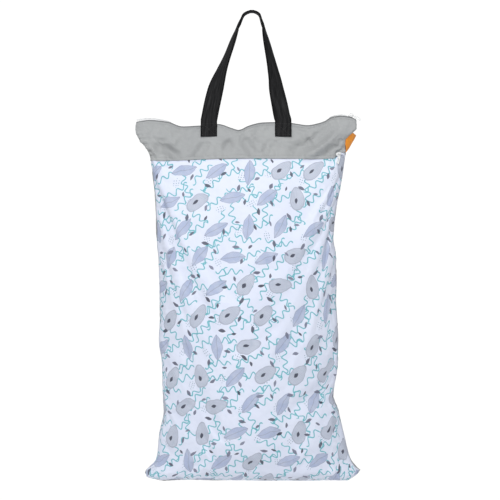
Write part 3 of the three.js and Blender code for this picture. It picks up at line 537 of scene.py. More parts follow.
printFolds = [
    (-0.169, -0.594, -0.076, -0.630, 0.0045, 0.0150), (0.149, -0.677, 0.060, -0.717, 0.0060, 0.0150),
    (0.149, -0.395, 0.071, -0.436, 0.0045, 0.0150), (-0.175, -0.361, -0.109, -0.397, 0.0032, 0.0150),
    (-0.188, -0.834, -0.093, -0.770, 0.0060, 0.0150), (0.187, -0.829, 0.090, -0.758, 0.0065, 0.0150),
    (0.155, -0.298, 0.105, -0.354, 0.0045, 0.0130), (-0.059, -0.811, 0.057, -0.823, 0.0030, 0.0150),
    (-0.172, -0.300, -0.120, -0.320, 0.0022, 0.0080), (-0.168, -0.470, -0.120, -0.478, 0.0026, 0.0100),
    (0.150, -0.520, 0.104, -0.530, 0.0026, 0.0090), (0.152, -0.590, 0.098, -0.616, 0.0024, 0.0090),
    (-0.160, -0.700, -0.100, -0.712, 0.0028, 0.0100), (-0.130, -0.846, -0.090, -0.806, 0.0028, 0.0080),
    (0.150, -0.846, 0.118, -0.800, 0.0028, 0.0080), (0.020, -0.846, 0.010, -0.816, 0.0018, 0.0080),
]
backFolds = [
    (-0.072, -0.217, -0.029, -0.340, 0.0050, 0.0150), (0.064, -0.221, 0.095, -0.334, 0.0055, 0.0160),
    (-0.161, -0.218, -0.113, -0.323, 0.0046, 0.0150), (-0.169, -0.583, -0.068, -0.632, 0.0050, 0.0180),
    (0.154, -0.655, 0.041, -0.709, 0.0060, 0.0180), (-0.187, -0.832, -0.084, -0.755, 0.0065, 0.0160),
    (0.185, -0.827, 0.088, -0.742, 0.0065, 0.0160), (-0.020, -0.215, -0.010, -0.290, 0.0030, 0.0090),
    (0.020, -0.214, 0.044, -0.300, 0.0026, 0.0080), (0.120, -0.214, 0.128, -0.290, 0.0030, 0.0090),
    (-0.172, -0.400, -0.110, -0.420, 0.0028, 0.0100), (0.152, -0.450, 0.090, -0.468, 0.0028, 0.0100),
    (-0.168, -0.500, -0.118, -0.512, 0.0024, 0.0090), (0.152, -0.560, 0.104, -0.566, 0.0024, 0.0090),
    (-0.130, -0.846, -0.080, -0.800, 0.0030, 0.0090), (0.140, -0.846, 0.104, -0.792, 0.0030, 0.0090),
    (-0.010, -0.846, -0.014, -0.812, 0.0020, 0.0090),
]
strapPlaces = {"left": -0.0783, "right": 0.0568, "width": 0.030, "sewn": 0.027}


def foldDepth(x, z, folds):
    total = np.zeros_like(x)
    for fromX, fromZ, toX, toZ, depth, width in folds:
        dx, dz = toX - fromX, toZ - fromZ
        nearest = np.clip(((x - fromX) * dx + (z - fromZ) * dz) / (dx * dx + dz * dz), 0, 1)
        awayX, awayZ = x - fromX - nearest * dx, z - fromZ - nearest * dz
        side = np.sign(awayX * dz - awayZ * dx)
        away = np.hypot(awayX, awayZ) / width
        ends = 0.35 + 0.65 * np.sqrt(np.sin(np.pi * nearest))
        ridge = 0.35 * np.exp(-((away - 1.5) ** 2) * 1.6) * (1 + 0.6 * side)
        total += depth * ends * (np.exp(-(away**2)) - ridge)
    return total


def calmAt(x, z):
    # 0 where the strap's sewn ends hold the band flat
    low = pouch["mouthLevel"] - strapPlaces["sewn"]
    away = np.minimum(*[
        np.maximum(np.abs(x - strapPlaces[end]) - strapPlaces["width"] / 2, low - z) for end in ("left", "right")
    ])
    return smooth((away - 0.001) / 0.008)


def wander(x, z, length, stretch, seed, waves=14):
    # even chance field with waves of about this length, longer across by stretch
    chance = np.random.default_rng(seed)
    total = np.zeros_like(x)
    for _ in range(waves):
        angle = chance.uniform(0, math.pi)
        size = 2 * math.pi / (length * chance.uniform(0.65, 1.5))
        kx, kz = size * math.cos(angle) / stretch, size * math.sin(angle)
        total += np.sin(kx * x + kz * z + chance.uniform(0, 2 * math.pi))
    return total / math.sqrt(waves / 2)


def spread(count):
    # shares across from -1 to 1, closer together at the side seams
    s = np.linspace(-1, 1, count + 1)
    return 0.5 * s + 0.5 * np.sin(math.pi / 2 * s)


def columnShares(columns):
    # share across of each column of a refined grid
    coarse = spread(pouch["columns"])
    return np.interp(np.linspace(0, 1, columns), np.linspace(0, 1, len(coarse)), coarse)


def gridNormals(points):
    normals = np.cross(np.gradient(points, axis=0), np.gradient(points, axis=1))
    return normals / np.maximum(np.linalg.norm(normals, axis=2, keepdims=True), 1e-12)


def refine(points, times):
    # the same grid with each step divided, along smooth curves
    def finer(p):
        count = p.shape[0]
        at = np.linspace(0, count - 1, (count - 1) * times + 1)
        i = np.minimum(at.astype(int), count - 2)
        t = (at - i).reshape(-1, *[1] * (p.ndim - 1))
        a, b, c, d = p[np.maximum(i - 1, 0)], p[i], p[i + 1], p[np.minimum(i + 2, count - 1)]
        return b + 0.5 * t * (c - a + t * (2 * a - 5 * b + 4 * c - d + t * (3 * (b - c) + d - a)))
    return np.swapaxes(finer(np.swapaxes(finer(points), 0, 1)), 0, 1)


def along(points, axis):
    # distance along each line of a grid from its first point
    steps = np.linalg.norm(np.diff(points, axis=axis), axis=2)
    return np.concatenate([np.zeros_like(np.take(steps, [0], axis)), np.cumsum(steps, axis=axis)], axis=axis)


def flatPlaces(points):
    # cloth coordinates in metres: across from the middle column, down from the first row
    u, v = along(points, 1), along(points, 0)
    return np.stack([u - u[:, -1:] / 2, -v], axis=2)


def gridFaces(rows, columns, flip=False):
    i, j = np.meshgrid(np.arange(rows - 1), np.arange(columns - 1), indexing="ij")
    a = (i * columns + j).ravel()
    faces = np.stack([a, a + columns, a + columns + 1, a + 1], axis=1)
    return faces[:, ::-1] if flip else faces


def meshFrom(name, vertices, faces, flat, material):
    mesh = bpy.data.meshes.new(name)
    mesh.from_pydata([tuple(v) for v in vertices], [], [tuple(int(i) for i in f) for f in faces])
    if flat is not None:
        layer = mesh.uv_layers.new(name="flat")
        corners = np.empty(len(mesh.loops), np.int32)
        mesh.loops.foreach_get("vertex_index", corners)
        layer.data.foreach_set("uv", np.asarray(flat, np.float32)[corners].ravel())
    mesh.polygons.foreach_set("use_smooth", [True] * len(mesh.polygons))
    if material:
        mesh.materials.append(material)
    mesh.validate()
    obj = bpy.data.objects.new(name, mesh)
    scene.collection.objects.link(obj)
    return obj


def clothObject(name, points, material, flip, thickness):
    flat = flatPlaces(points).reshape(-1, 2)
    obj = meshFrom(name, points.reshape(-1, 3), gridFaces(*points.shape[:2], flip), flat, material)
    wall = obj.modifiers.new("wall", "SOLIDIFY")
    wall.thickness = thickness
    wall.offset = -1.0
    wall.use_even_offset = False
    return obj


# the cloth between its seams is a little longer than its place, and pressed out from inside
clothSim = {
    "frames": 22, "cap": 0.006, "gravity": 0.12,
    "settings": {
        "quality": 6, "mass": 0.2, "tension_stiffness": 20, "compression_stiffness": 20, "shear_stiffness": 8,
        "bending_stiffness": 0.35, "shrink_min": -0.013, "use_pressure": True, "uniform_pressure_force": 1.2,
        "vertex_group_mass": "held",
    },
}


def simulate(points, held, flip):
    # points is the grid, held the weight of each point's hold, 1 at a seam
    obj = meshFrom("simulated", points.reshape(-1, 3), gridFaces(*points.shape[:2], flip), None, None)
    group = obj.vertex_groups.new(name="held")
    weights = held.ravel()
    for level in np.unique(np.round(weights, 2)):
        if level > 0:
            group.add([int(i) for i in np.flatnonzero(np.round(weights, 2) == level)], float(level), "REPLACE")
    cloth = obj.modifiers.new("cloth", "CLOTH")
    for setting, value in clothSim["settings"].items():
        setattr(cloth.settings, setting, value)
    cloth.settings.effector_weights.gravity = clothSim["gravity"]
    cloth.collision_settings.use_collision = False
    cloth.point_cache.frame_start = 1
    cloth.point_cache.frame_end = clothSim["frames"]
    for number in range(1, clothSim["frames"] + 1):
        scene.frame_set(number)
    evaluated = obj.evaluated_get(bpy.context.evaluated_depsgraph_get())
    moved = np.empty(len(evaluated.data.vertices) * 3)
    evaluated.data.vertices.foreach_get("co", moved)
    moved = moved.reshape(points.shape)
    bpy.data.objects.remove(obj)
    scene.frame_set(1)
    step = moved - points
    length = np.linalg.norm(step, axis=2, keepdims=True)
    cap = clothSim["cap"]
    return points + step * (cap * np.tanh(length / cap) / np.maximum(length, 1e-9))


def frontGrid():
    across, bandDown = np.meshgrid(spread(pouch["columns"]), np.linspace(0, 1, pouch["bandRows"] + 1))
    bandX, bandZ = seamPlane(across, bandDown, mouthZ, joinZ)
    across, printDown = np.meshgrid(spread(pouch["columns"]), np.linspace(0, 1, pouch["printRows"] + 1)[1:])
    printX, printZ = seamPlane(across, printDown, joinZ, bottomZ)
    return np.concatenate([bandX, printX]), np.concatenate([bandZ, printZ])


def backGrid():
    across, down = np.meshgrid(spread(pouch["columns"]), np.linspace(0, 1, pouch["backRows"] + 1))
    return seamPlane(across, down, mouthZ, bottomZ)


def skin(side, x, z, folds, top, strength):
    # top is the folds' strength on the band, strength that below it
    y, pillow = wallY(side, x, z)
    calm = calmAt(x, z) if side < 0 else np.ones_like(x)
    calm = calm * (top + (strength - top) * smooth((joinLevel + 0.004 - z) / 0.02))
    depth = foldDepth(x, z, folds) * calm * np.minimum(1, pillow / 0.006)
    points = np.stack([x, y - side * depth, z], axis=2)
    held = np.zeros_like(x)
    held[0], held[-1], held[:, 0], held[:, -1] = 1, 1, 1, 1
    held[1], held[2] = 1, 0.5  # the hem along the mouth
    held[-2] = np.maximum(held[-2], 0.4)
    if side < 0:
        held = np.maximum(held, np.where(calmAt(x, z) < 0.5, 1.0, 0.0))
    points = simulate(points, held, side > 0)
    return points


creases = {
    "ribPitch": 0.0095, "ribHigh": 0.0010, "ribReach": 0.011, "lowPitch": 0.014, "lowHigh": 0.0009, "lowReach": 0.014,
    "broadLong": 0.070, "broadHigh": 0.0006, "ridgeLong": 0.034, "ridgeHigh": 0.0006, "fineLong": 0.009,
    "fineHigh": 0.00012, "grooveDeep": 0.00045, "grooveWide": 0.0014,
}


def seamPuckers(points, side):
    # small ribs at right angles to the side seams and the bottom seam, stronger on the band
    c = creases
    u, v = np.moveaxis(flatPlaces(points) * (1, -1), 2, 0)
    fromEdge = np.minimum(u - u[:, :1], u[:, -1:] - u)
    x, z = points[:, :, 0], points[:, :, 2]
    phase = 2.2 * wander(x * 0, z, 0.05, 1.0, 5) + np.where(x < 0, 0.0, 2.0)
    strength = 0.45 + 0.55 * smooth(0.5 + 0.5 * wander(x * 0 + np.sign(x) * 0.3, z, 0.11, 1.0, 8 + side))
    ribs = np.sin(2 * math.pi * z / c["ribPitch"] + phase) * strength
    onBand = smooth((z - joinLevel) / 0.004) * smooth((pouch["mouthLevel"] - 0.020 - z) / 0.012)
    ribs = ribs * (1 + 1.1 * onBand)
    fade = np.exp(-fromEdge / (c["ribReach"] + 0.006 * onBand)) * smooth(fromEdge / 0.0015)
    fromBottom = v[-1:, :] - v
    low = np.sin(2 * math.pi * x / c["lowPitch"] + 1.8 * wander(x, z * 0, 0.06, 1.0, 9))
    lowFade = np.exp(-fromBottom / c["lowReach"]) * smooth(fromBottom / 0.0015) * smooth(v / 0.1)
    return c["ribHigh"] * ribs * fade + c["lowHigh"] * low * lowFade


def wrinkles(points, seed):
    # faint creases of handled cloth, in patches
    c = creases
    x, z = points[:, :, 0], points[:, :, 2]
    ridged = np.clip(1 - np.abs(wander(x, z, c["ridgeLong"], 1.7, seed + 1)), 0, 1) ** 3
    patch = smooth(0.5 + 0.6 * wander(x, z, 0.12, 1.0, seed + 2))
    broad, fine = wander(x, z, c["broadLong"], 1.5, seed), wander(x, z, c["fineLong"], 1.0, seed + 3)
    return c["broadHigh"] * broad + c["ridgeHigh"] * ridged * patch + c["fineHigh"] * fine


def stitchGroove(distance):
    return creases["grooveDeep"] * np.exp(-((distance / creases["grooveWide"]) ** 2))


frontX, frontZ = frontGrid()
backX, backZ = backGrid()
frontSkin = skin(-1, frontX, frontZ, bandFolds + printFolds, 2.2, 0.7)
print("front cloth shaped")
backSkin = skin(1, backX, backZ, backFolds, 1.5, 1.5)
print("back cloth shaped")

seams = {
    "mouthStitch": 0.0055, "joinStitch": 0.0065, "printStitch": 0.0022, "bandFine": 3, "wallFine": 2,
    "lapHigh": 0.0007, "sliver": 0.0012, "gap": 0.00005, "closing": 0.004,
}
bandEnd = pouch["bandRows"]


def dress(points, times, side, seed):
    # finer grid, its outward normals, and the height of its puckers and creases
    fine = refine(points, times)
    return fine, gridNormals(fine) * (1 if side < 0 else -1), seamPuckers(fine, side) + wrinkles(fine, seed)


def bandCloth():
    fine, normals, relief = dress(frontSkin[: bandEnd + 1], seams["bandFine"], -1, 41)
    down = along(fine, 0)
    fromJoin = down[-1:] - down
    edge = smooth(down / 0.004) * smooth(fromJoin / 0.004)
    relief = relief * (0.15 + 0.85 * calmAt(fine[:, :, 0], fine[:, :, 2])) * edge
    relief -= stitchGroove(down - seams["mouthStitch"]) + stitchGroove(fromJoin - seams["joinStitch"])
    relief += seams["lapHigh"] * np.exp(-((fromJoin / 0.004) ** 2))  # folded lower edge over the pocket zip
    return fine + normals * relief[:, :, None]


def wallCloth(points, side, seed, stitch):
    fine, normals, relief = dress(points, seams["wallFine"], side, seed)
    down = along(fine, 0)
    relief = relief * smooth(down / 0.006) - stitchGroove(down - stitch)
    return fine + normals * relief[:, :, None]


def surfaceAt(points, across, row):
    # place on a cloth grid for a share across and a row that may lie between rows
    rows, columns = points.shape[:2]
    column = np.interp(across, columnShares(columns), np.arange(columns))
    i, j = np.clip(row.astype(int), 0, rows - 2), np.clip(column.astype(int), 0, columns - 2)
    s, t = (row - i)[:, None], (column - j)[:, None]
    upper = points[i, j] * (1 - t) + points[i, j + 1] * t
    lower = points[i + 1, j] * (1 - t) + points[i + 1, j + 1] * t
    return upper * (1 - s) + lower * s


def rowAtDepth(points, across, depth, fromBottom=False):
    # row, for each share across, that lies this far down the cloth from its upper or lower edge
    down = along(points, 0)
    if fromBottom:
        down = down[-1:] - down
    columns = points.shape[1]
    found = []
    for column in np.round(np.interp(across, columnShares(columns), np.arange(columns))).astype(int):
        line = down[:, column]
        order = np.arange(len(line))
        found.append(np.interp(depth, line[::-1], order[::-1]) if fromBottom else np.interp(depth, line, order))
    return np.array(found)


def closeSeams(points, side, bottom):
    # at the side seams and the bottom both cloths lie on each other
    across, down = along(points, 1), along(points, 0)
    fromEdge = np.minimum(across, across[:, -1:] - across)
    if bottom:
        fromEdge = np.minimum(fromEdge, down[-1:] - down)
    apart = pouch["seamHalf"] - pouch["thickness"] - seams["gap"]
    moved = points.copy()
    moved[:, :, 1] -= side * apart * np.exp(-fromEdge / seams["closing"])
    return moved


def showBack(points):
    # slivers of the back cloth that stand out beside the print
    z = points[:, :1, 2]
    left = smooth((-0.285 - z) / 0.01) * smooth((z + 0.43) / 0.03)
    right = smooth((-0.700 - z) / 0.01) * smooth((z + 0.75) / 0.02)
    tips = smooth((-0.815 - z) / 0.01)
    edge = seams["sliver"] * np.exp(-along(points, 1) / 0.003)
    moved = points.copy()
    moved[:, :, 0] += (right + tips) * edge[:, ::-1] - (left + tips) * edge
    return moved


bandPoints = closeSeams(bandCloth(), -1, False)
printPoints = closeSeams(wallCloth(frontSkin[bandEnd:], -1, 61, seams["printStitch"]), -1, True)
backPoints = showBack(closeSeams(wallCloth(backSkin, 1, 81, seams["mouthStitch"]), 1, True))


def printUnderBand(points):
    # the print's folded top edge goes up behind the band, in front of the pocket zip
    across = columnShares(points.shape[1])
    inward = -gridNormals(frontSkin)
    upper = surfaceAt(frontSkin + inward * 0.0017, across, np.full_like(across, bandEnd - 0.42))
    upper[:, 0], upper[:, 2] = points[0, :, 0], np.maximum(upper[:, 2], points[0, :, 2] + 0.0018)
    edge = points[0] - gridNormals(points)[0] * 0.0013
    edge[:, 0] = points[0, :, 0]
    moved = np.concatenate([upper[None], edge[None], points[1:]])
    moved[2] -= gridNormals(points)[1] * 0.0002
    return moved


printPoints = printUnderBand(printPoints)
bandObject = clothObject("bandCloth", bandPoints, looks["grey"], False, pouch["thickness"])
printObject = clothObject("printCloth", printPoints, looks["print"], False, pouch["thickness"])
backObject = clothObject("backCloth", backPoints, looks["grey"], True, pouch["thickness"])
print("cloth pieces made")


# What repeats along a line: stitches and zip teeth
def beadTree():
    tree = bpy.data.node_groups.new("beadsAlongLine", "GeometryNodeTree")
    names = ("Pitch", "Long", "Wide", "High", "Aside", "Uneven")
    tree.interface.new_socket("Geometry", in_out="INPUT", socket_type="NodeSocketGeometry")
    sockets = {}
    for name in (*names, "Material"):
        kind = "NodeSocketMaterial" if name == "Material" else "NodeSocketFloat"
        sockets[name] = tree.interface.new_socket(name, in_out="INPUT", socket_type=kind).identifier
    tree.interface.new_socket("Geometry", in_out="OUTPUT", socket_type="NodeSocketGeometry")
    given = {out.name: out for out in tree.nodes.new("NodeGroupInput").outputs}

    def step(kind, inputs=None, settings=None):
        return addNode(tree, kind, settings, inputs).outputs[0]

    line = step("GeometryNodeMeshToCurve", {"Mesh": given["Geometry"]})
    evenly = step("GeometryNodeResampleCurve", {"Curve": line, "Length": given["Pitch"]}, {"mode": "LENGTH"})
    bead = step("GeometryNodeMeshUVSphere", {"Segments": 6, "Rings": 4, "Radius": 0.5})
    size = step("ShaderNodeCombineXYZ", [given["Long"], given["Wide"], given["High"]])
    shaped = step("GeometryNodeTransform", {"Geometry": bead, "Scale": size})
    tangent = step("GeometryNodeInputTangent")
    pointed = step("FunctionNodeAlignRotationToVector", {"Vector": tangent}, {"axis": "X"})
    upright = step(
        "FunctionNodeAlignRotationToVector", {"Rotation": pointed, "Vector": (0.0, 0.0, 1.0)},
        {"axis": "Z", "pivot_axis": "X"})
    chance = addNode(tree, "FunctionNodeRandomValue", {"data_type": "FLOAT"}, {2: 0.0, 3: 1.0, 8: 7}).outputs[1]
    uneven = 1 - Number(tree, given["Uneven"]) * Number(tree, chance)
    placed = step(
        "GeometryNodeInstanceOnPoints", {"Points": evenly, "Instance": shaped, "Rotation": upright, "Scale": uneven})
    index = Number(tree, step("GeometryNodeInputIndex"))
    swing = (index.math("MODULO", 2.0) * 2 - 1) * Number(tree, given["Aside"])
    shift = step("ShaderNodeCombineXYZ", [0.0, swing, 0.0])
    moved = step("GeometryNodeTranslateInstances", {"Instances": placed, "Translation": shift, "Local Space": True})
    soft = step("GeometryNodeSetShadeSmooth", {"Geometry": step("GeometryNodeRealizeInstances", [moved])})
    finished = step("GeometryNodeSetMaterial", {"Geometry": soft, "Material": given["Material"]})
    tree.links.new(finished, tree.nodes.new("NodeGroupOutput").inputs[0])
    return tree, sockets


beads, beadSockets = beadTree()


def beadsAlong(name, lines, sizes, material):
    # lines are arrays of points; sizes are the tree's named inputs
    vertices, edges = [], []
    for line in lines:
        first = len(vertices)
        vertices += [tuple(p) for p in line]
        edges += [(first + k, first + k + 1) for k in range(len(line) - 1)]
    mesh = bpy.data.meshes.new(name)
    mesh.from_pydata(vertices, edges, [])
    obj = bpy.data.objects.new(name, mesh)
    scene.collection.objects.link(obj)
    modifier = obj.modifiers.new("beads", "NODES")
    modifier.node_group = beads
    for socket, value in {**sizes, "Material": material}.items():
        modifier[beadSockets[socket]] = value
    evaluated = obj.evaluated_get(bpy.context.evaluated_depsgraph_get())
    made = bpy.data.meshes.new_from_object(evaluated)
    obj.modifiers.clear()
    obj.data = made
    made.name = name
    return obj


stitching = {"Pitch": 0.0034, "Long": 0.0027, "Wide": 0.00055, "High": 0.00055, "Aside": 0.0, "Uneven": 0.12}


def clothLine(points, depth, fromBottom, out, start=-0.985, end=0.985, count=260):
    across = np.linspace(start, end, count)
    row = rowAtDepth(points, across, depth, fromBottom)
    return surfaceAt(points + out, across, row)


def outward(points, side, amount):
    return gridNormals(points) * (amount if side < 0 else -amount)


def clothStitches():
    bandOut = outward(bandPoints, -1, 0.0001)
    greyLines = [clothLine(bandPoints, seams["joinStitch"], True, bandOut, -0.97, 0.86)]
    for start, end in ((-0.985, -0.432), (-0.272, 0.238), (0.402, 0.96)):
        greyLines.append(clothLine(bandPoints, seams["mouthStitch"], False, bandOut, start, end))
    printLines = [clothLine(printPoints, seams["printStitch"], False, outward(printPoints, -1, 0.0001), -0.97, 0.86)]
    backLines = [clothLine(backPoints, seams["mouthStitch"], False, outward(backPoints, 1, 0.0001))]
    return (
        beadsAlong("bandStitches", greyLines, stitching, looks["greyThread"]),
        beadsAlong("printStitches", printLines, stitching, looks["whiteThread"]),
        beadsAlong("backStitches", backLines, stitching, looks["greyThread"]),
    )


bandStitches, printStitches, backStitches = clothStitches()
print("stitches made")

zips = {
    "tapeShow": 0.0049, "tapeDrop": 0.009, "coilHigh": 0.0020, "sliderAcross": 0.945, "tapeThickness": 0.0007,
    "columns": 180, "tapeTip": 0.0012, "pocketStart": -0.95, "pocketEnd": 0.86, "pocketReach": 0.010,
    "rowHigh": 0.0050, "pocketCoilIn": 0.0040, "pocketTapeIn": 0.0052,
}
teeth = {"Pitch": 0.00125, "Long": 0.0011, "Wide": 0.0030, "High": 0.0019, "Aside": 0.0007, "Uneven": 0.03}
pocketTeeth = {"Pitch": 0.00125, "Long": 0.0010, "Wide": 0.0014, "High": 0.0016, "Aside": 0.0, "Uneven": 0.03}


def mouthX(across):
    ends = np.ones_like(across)
    left, right = sideX(-1, mouthZ(-ends)), sideX(1, mouthZ(ends))
    return left + (right - left) * (across + 1) / 2


def coilTopZ(across):
    return mouthZ(across) + zips["tapeShow"] * readTable(mouthLine, 2, across)


def tape(side):
    # from inside the mouth up to the coil, along the cloth and then leaning in
    across = np.linspace(-0.999, zips["sliderAcross"], zips["columns"])
    cloth = frontSkin if side < 0 else backSkin
    top = coilTopZ(across) - zips["coilHigh"] * 0.55
    tip = top - zips["tapeTip"]
    low = np.where(across < -0.97, tip, np.minimum(mouthZ(across) - zips["tapeDrop"], tip))
    depths = along(cloth[:8], 0)[:, pouch["columns"] // 2]
    rows = []
    for share in np.linspace(0, 1, 9):
        lean = smooth((share - 0.5) / 0.5)
        z = low + (top - low) * share
        row = np.interp(mouthZ(across) - z, depths, np.arange(8))
        inward = 0.0017 + 0.0016 * smooth((mouthZ(across) - z) / 0.006)
        wallAt = surfaceAt(cloth, across, row)[:, 1] - side * inward
        y = wallAt + (swayY(across) + side * 0.0007 - wallAt) * lean
        y = swayY(across) + side * np.maximum(side * (y - swayY(across)), 0.0002)
        wave = 0.0002 * np.sin(across * 95 + side) * share
        rows.append(np.stack([mouthX(across), y + wave, z], axis=1))
    points = np.array(rows[::-1])
    name = "frontTape" if side < 0 else "backTape"
    return clothObject(name, points, looks["tape"], side > 0, zips["tapeThickness"])


def topCoil():
    across = np.linspace(-0.995, 0.915, 400)
    z = coilTopZ(across) - zips["coilHigh"] / 2
    line = np.stack([mouthX(across), swayY(across), z], axis=1)
    return beadsAlong("mouthCoil", [line], teeth, looks["nylon"])


def pocketZip():
    across = np.linspace(zips["pocketStart"], zips["pocketEnd"], 400)
    inward = -gridNormals(frontSkin)
    line = surfaceAt(frontSkin + inward * zips["pocketCoilIn"], across, np.full_like(across, bandEnd - 0.2))
    coil = beadsAlong("pocketCoil", [line], pocketTeeth, looks["nylon"])
    strip = []
    across = np.linspace(-0.93, 0.93, 140)
    for step in np.linspace(-1, 1, 7):
        row = np.full_like(across, bandEnd + step * zips["pocketReach"] / zips["rowHigh"])
        strip.append(surfaceAt(frontSkin + inward * zips["pocketTapeIn"], across, row))
    return coil, clothObject("pocketTape", np.array(strip), looks["tape"], False, zips["tapeThickness"])


frontTape, backTape = tape(-1), tape(1)
mouthCoil = topCoil()
pocketCoil, pocketTape = pocketZip()
print("zips made")

strap = {
    "width": 0.030, "thickness": 0.0019, "rise": 0.200, "halfSpread": 0.068, "seat": 0.006, "gap": 0.0007,
    "root": 0.003, "sewn": 0.027, "leftShare": 1.152, "rightShare": 0.836, "steps": 70, "sewnSteps": 14, "around": 10,
    "cup": 0.0034, "boxHalf": 0.0118, "boxTop": 0.0035, "boxLow": 0.003,
}
# height below the top, distance out and turn from facing the front, for the left and right legs
strapLegs = np.array([
    (0.010, 0.155, 92, 0.146, 92), (0.036, 0.241, 93, 0.214, 93), (0.118, 0.356, 91, 0.294, 91),
    (0.170, 0.420, 80, 0.335, 80), (0.255, 0.522, 69, 0.401, 68),
    (0.391, 0.656, 63, 0.482, 59), (0.527, 0.803, 49, 0.562, 48), (0.618, 0.897, 32, 0.616, 38),
    (0.709, 0.977, 14, 0.656, 24), (0.845, 1.070, 2, 0.740, 9), (0.940, 1.125, 0, 0.795, 0),
])


def sewnY(x, z):
    # y of the band's face behind the strap
    y, _ = wallY(-1, np.array([x]), np.array([z]))
    return float(y[0]) - strap["gap"]


def smoothLine(points, count):
    # even places along a smooth curve through the points
    p = np.array(points)
    p = np.concatenate([[2 * p[0] - p[1]], p, [2 * p[-1] - p[-2]]])
    dense = []
    for k in range(1, len(p) - 2):
        for t in np.linspace(0, 1, 24, endpoint=False):
            a, b, c, d = p[k - 1], p[k], p[k + 1], p[k + 2]
            dense.append(b + 0.5 * t * (c - a + t * (2 * a - 5 * b + 4 * c - d + t * (3 * (b - c) + d - a))))
    dense = np.array(dense + [p[-2]])
    steps = np.concatenate([[0], np.cumsum(np.linalg.norm(np.diff(dense, axis=0), axis=1))])
    at = np.linspace(0, steps[-1], count)
    return np.stack([np.interp(at, steps, dense[:, k]) for k in range(3)], axis=1)


def strapLeg(side):
    out, turned = (1, 2) if side < 0 else (3, 4)
    share = strap["leftShare"] if side < 0 else strap["rightShare"]
    sewnX = side * share * strap["halfSpread"]
    topZ = pouch["mouthLevel"] + strap["root"]
    rootY = sewnY(sewnX, topZ) - strap["thickness"] / 2
    points = [(side * strap["seat"] / 2, 0, strap["thickness"] / 2)]
    for row in strapLegs:
        points.append((side * row[out] * strap["halfSpread"], rootY * float(smooth(row[0])), -row[0] * strap["rise"]))
    points.append((sewnX, rootY, topZ))
    line = smoothLine(points, strap["steps"])
    turns = np.concatenate([[[0, 90]], strapLegs[:, [0, turned]]])
    angle = np.radians(readTable(turns, 1, -line[:, 2] / strap["rise"]))
    widthways = np.stack([-side * np.cos(angle), -np.sin(angle), np.zeros_like(angle)], axis=1)
    sewn = []
    for k in range(1, strap["sewnSteps"] + 1):
        z = topZ - (strap["root"] + strap["sewn"]) * k / strap["sewnSteps"]
        sewn.append((sewnX, sewnY(sewnX, z) - strap["thickness"] / 2, z))
    line = np.concatenate([line, sewn])
    widthways = np.concatenate([widthways, np.tile([[-side * 1.0, 0, 0]], (len(sewn), 1))])
    return line, widthways


def strapSection():
    # flat faces with thicker, rounded selvedges
    half, thick = strap["width"] / 2, strap["thickness"] / 2
    steps = np.linspace(-1, 1, strap["around"] + 1)
    face = [(s * (half - thick), thick * (1 + 0.10 * (abs(s) > 0.85))) for s in steps]
    turn = [math.pi * quarter / 4 for quarter in (1, 2, 3)]
    end = [(half - thick + thick * math.sin(a), thick * math.cos(a)) for a in turn]
    return np.array(face + end + [(-x, -y) for x, y in face + end])


def strapObject():
    leftLine, leftWide = strapLeg(-1)
    rightLine, rightWide = strapLeg(1)
    line = np.concatenate([leftLine[::-1], rightLine])
    wide = np.concatenate([leftWide[::-1], rightWide])
    tangent = np.gradient(line, axis=0)
    tangent /= np.linalg.norm(tangent, axis=1, keepdims=True)
    wide = wide - tangent * (wide * tangent).sum(1, keepdims=True)
    wide /= np.linalg.norm(wide, axis=1, keepdims=True)
    out = np.cross(wide, tangent)
    section = strapSection()
    length = np.concatenate([[0], np.cumsum(np.linalg.norm(np.diff(line, axis=0), axis=1))])
    # the webbing curls across its width at the loop's shoulders
    shareDown = -line[:, 2] / strap["rise"]
    cup = strap["cup"] * smooth((shareDown - 0.03) / 0.08) * (1 - smooth((shareDown - 0.22) / 0.3))
    bulge = cup[:, None] * (0.5 - (section[None, :, 0] / (strap["width"] / 2)) ** 2)
    high = section[None, :, 1] + bulge
    vertices = line[:, None] + wide[:, None] * section[None, :, :1] + out[:, None] * high[:, :, None]
    count, around = len(line), len(section)
    flat = np.stack(np.broadcast_arrays(section[None, :, 0], length[:, None]), axis=2)
    faces = [tuple(range(around - 1, -1, -1)), tuple((count - 1) * around + j for j in range(around))]
    for i in range(count - 1):
        near, far = i * around, (i + 1) * around
        faces += [(near + j, near + (j + 1) % around, far + (j + 1) % around, far + j) for j in range(around)]
    obj = meshFrom("webbingStrap", vertices.reshape(-1, 3), faces, flat.reshape(-1, 2), looks["webbing"])
    fixNormals(obj)
    return obj


def fixNormals(obj):
    work = bmesh.new()
    work.from_mesh(obj.data)
    bmesh.ops.recalc_face_normals(work, faces=work.faces)
    work.to_mesh(obj.data)
    work.free()


def strapStitches():
    lines = []
    for side, share in ((-1, strap["leftShare"]), (1, strap["rightShare"])):
        middle = side * share * strap["halfSpread"]
        half, top = strap["boxHalf"], pouch["mouthLevel"] - strap["boxTop"]
        low = pouch["mouthLevel"] - strap["sewn"] + strap["boxLow"]
        corners = [(-half, top), (half, top), (half, low), (-half, low), (-half, top), (half, low)]
        paths = [corners, [(half, top), (-half, low)]]
        for path in paths:
            points = []
            for (x0, z0), (x1, z1) in zip(path[:-1], path[1:]):
                for t in np.linspace(0, 1, 12, endpoint=False):
                    points.append((x0 + (x1 - x0) * t, z0 + (z1 - z0) * t))
            points.append(path[-1])
            lines.append([(middle + x, sewnY(middle, z) - strap["thickness"] * 1.02, z) for x, z in points])
    return beadsAlong("strapStitches", lines, stitching, looks["blackThread"])


webbingStrap = strapObject()
boxStitches = strapStitches()
print("strap made")

# share of the pouch's height down, and the direction in which the ribbon stands out there
tagEnds = np.array([(0.029, 0.37, 0.90, -0.22), (0.041, 0.34, 0.60, -0.72), (0.053, 0.16, -0.12, -0.98)])
tag = {"length": 0.020, "inSeam": 0.0016, "fold": 0.0011, "gap": 0.0009, "thickness": 0.0005, "places": 26, "steps": 16}


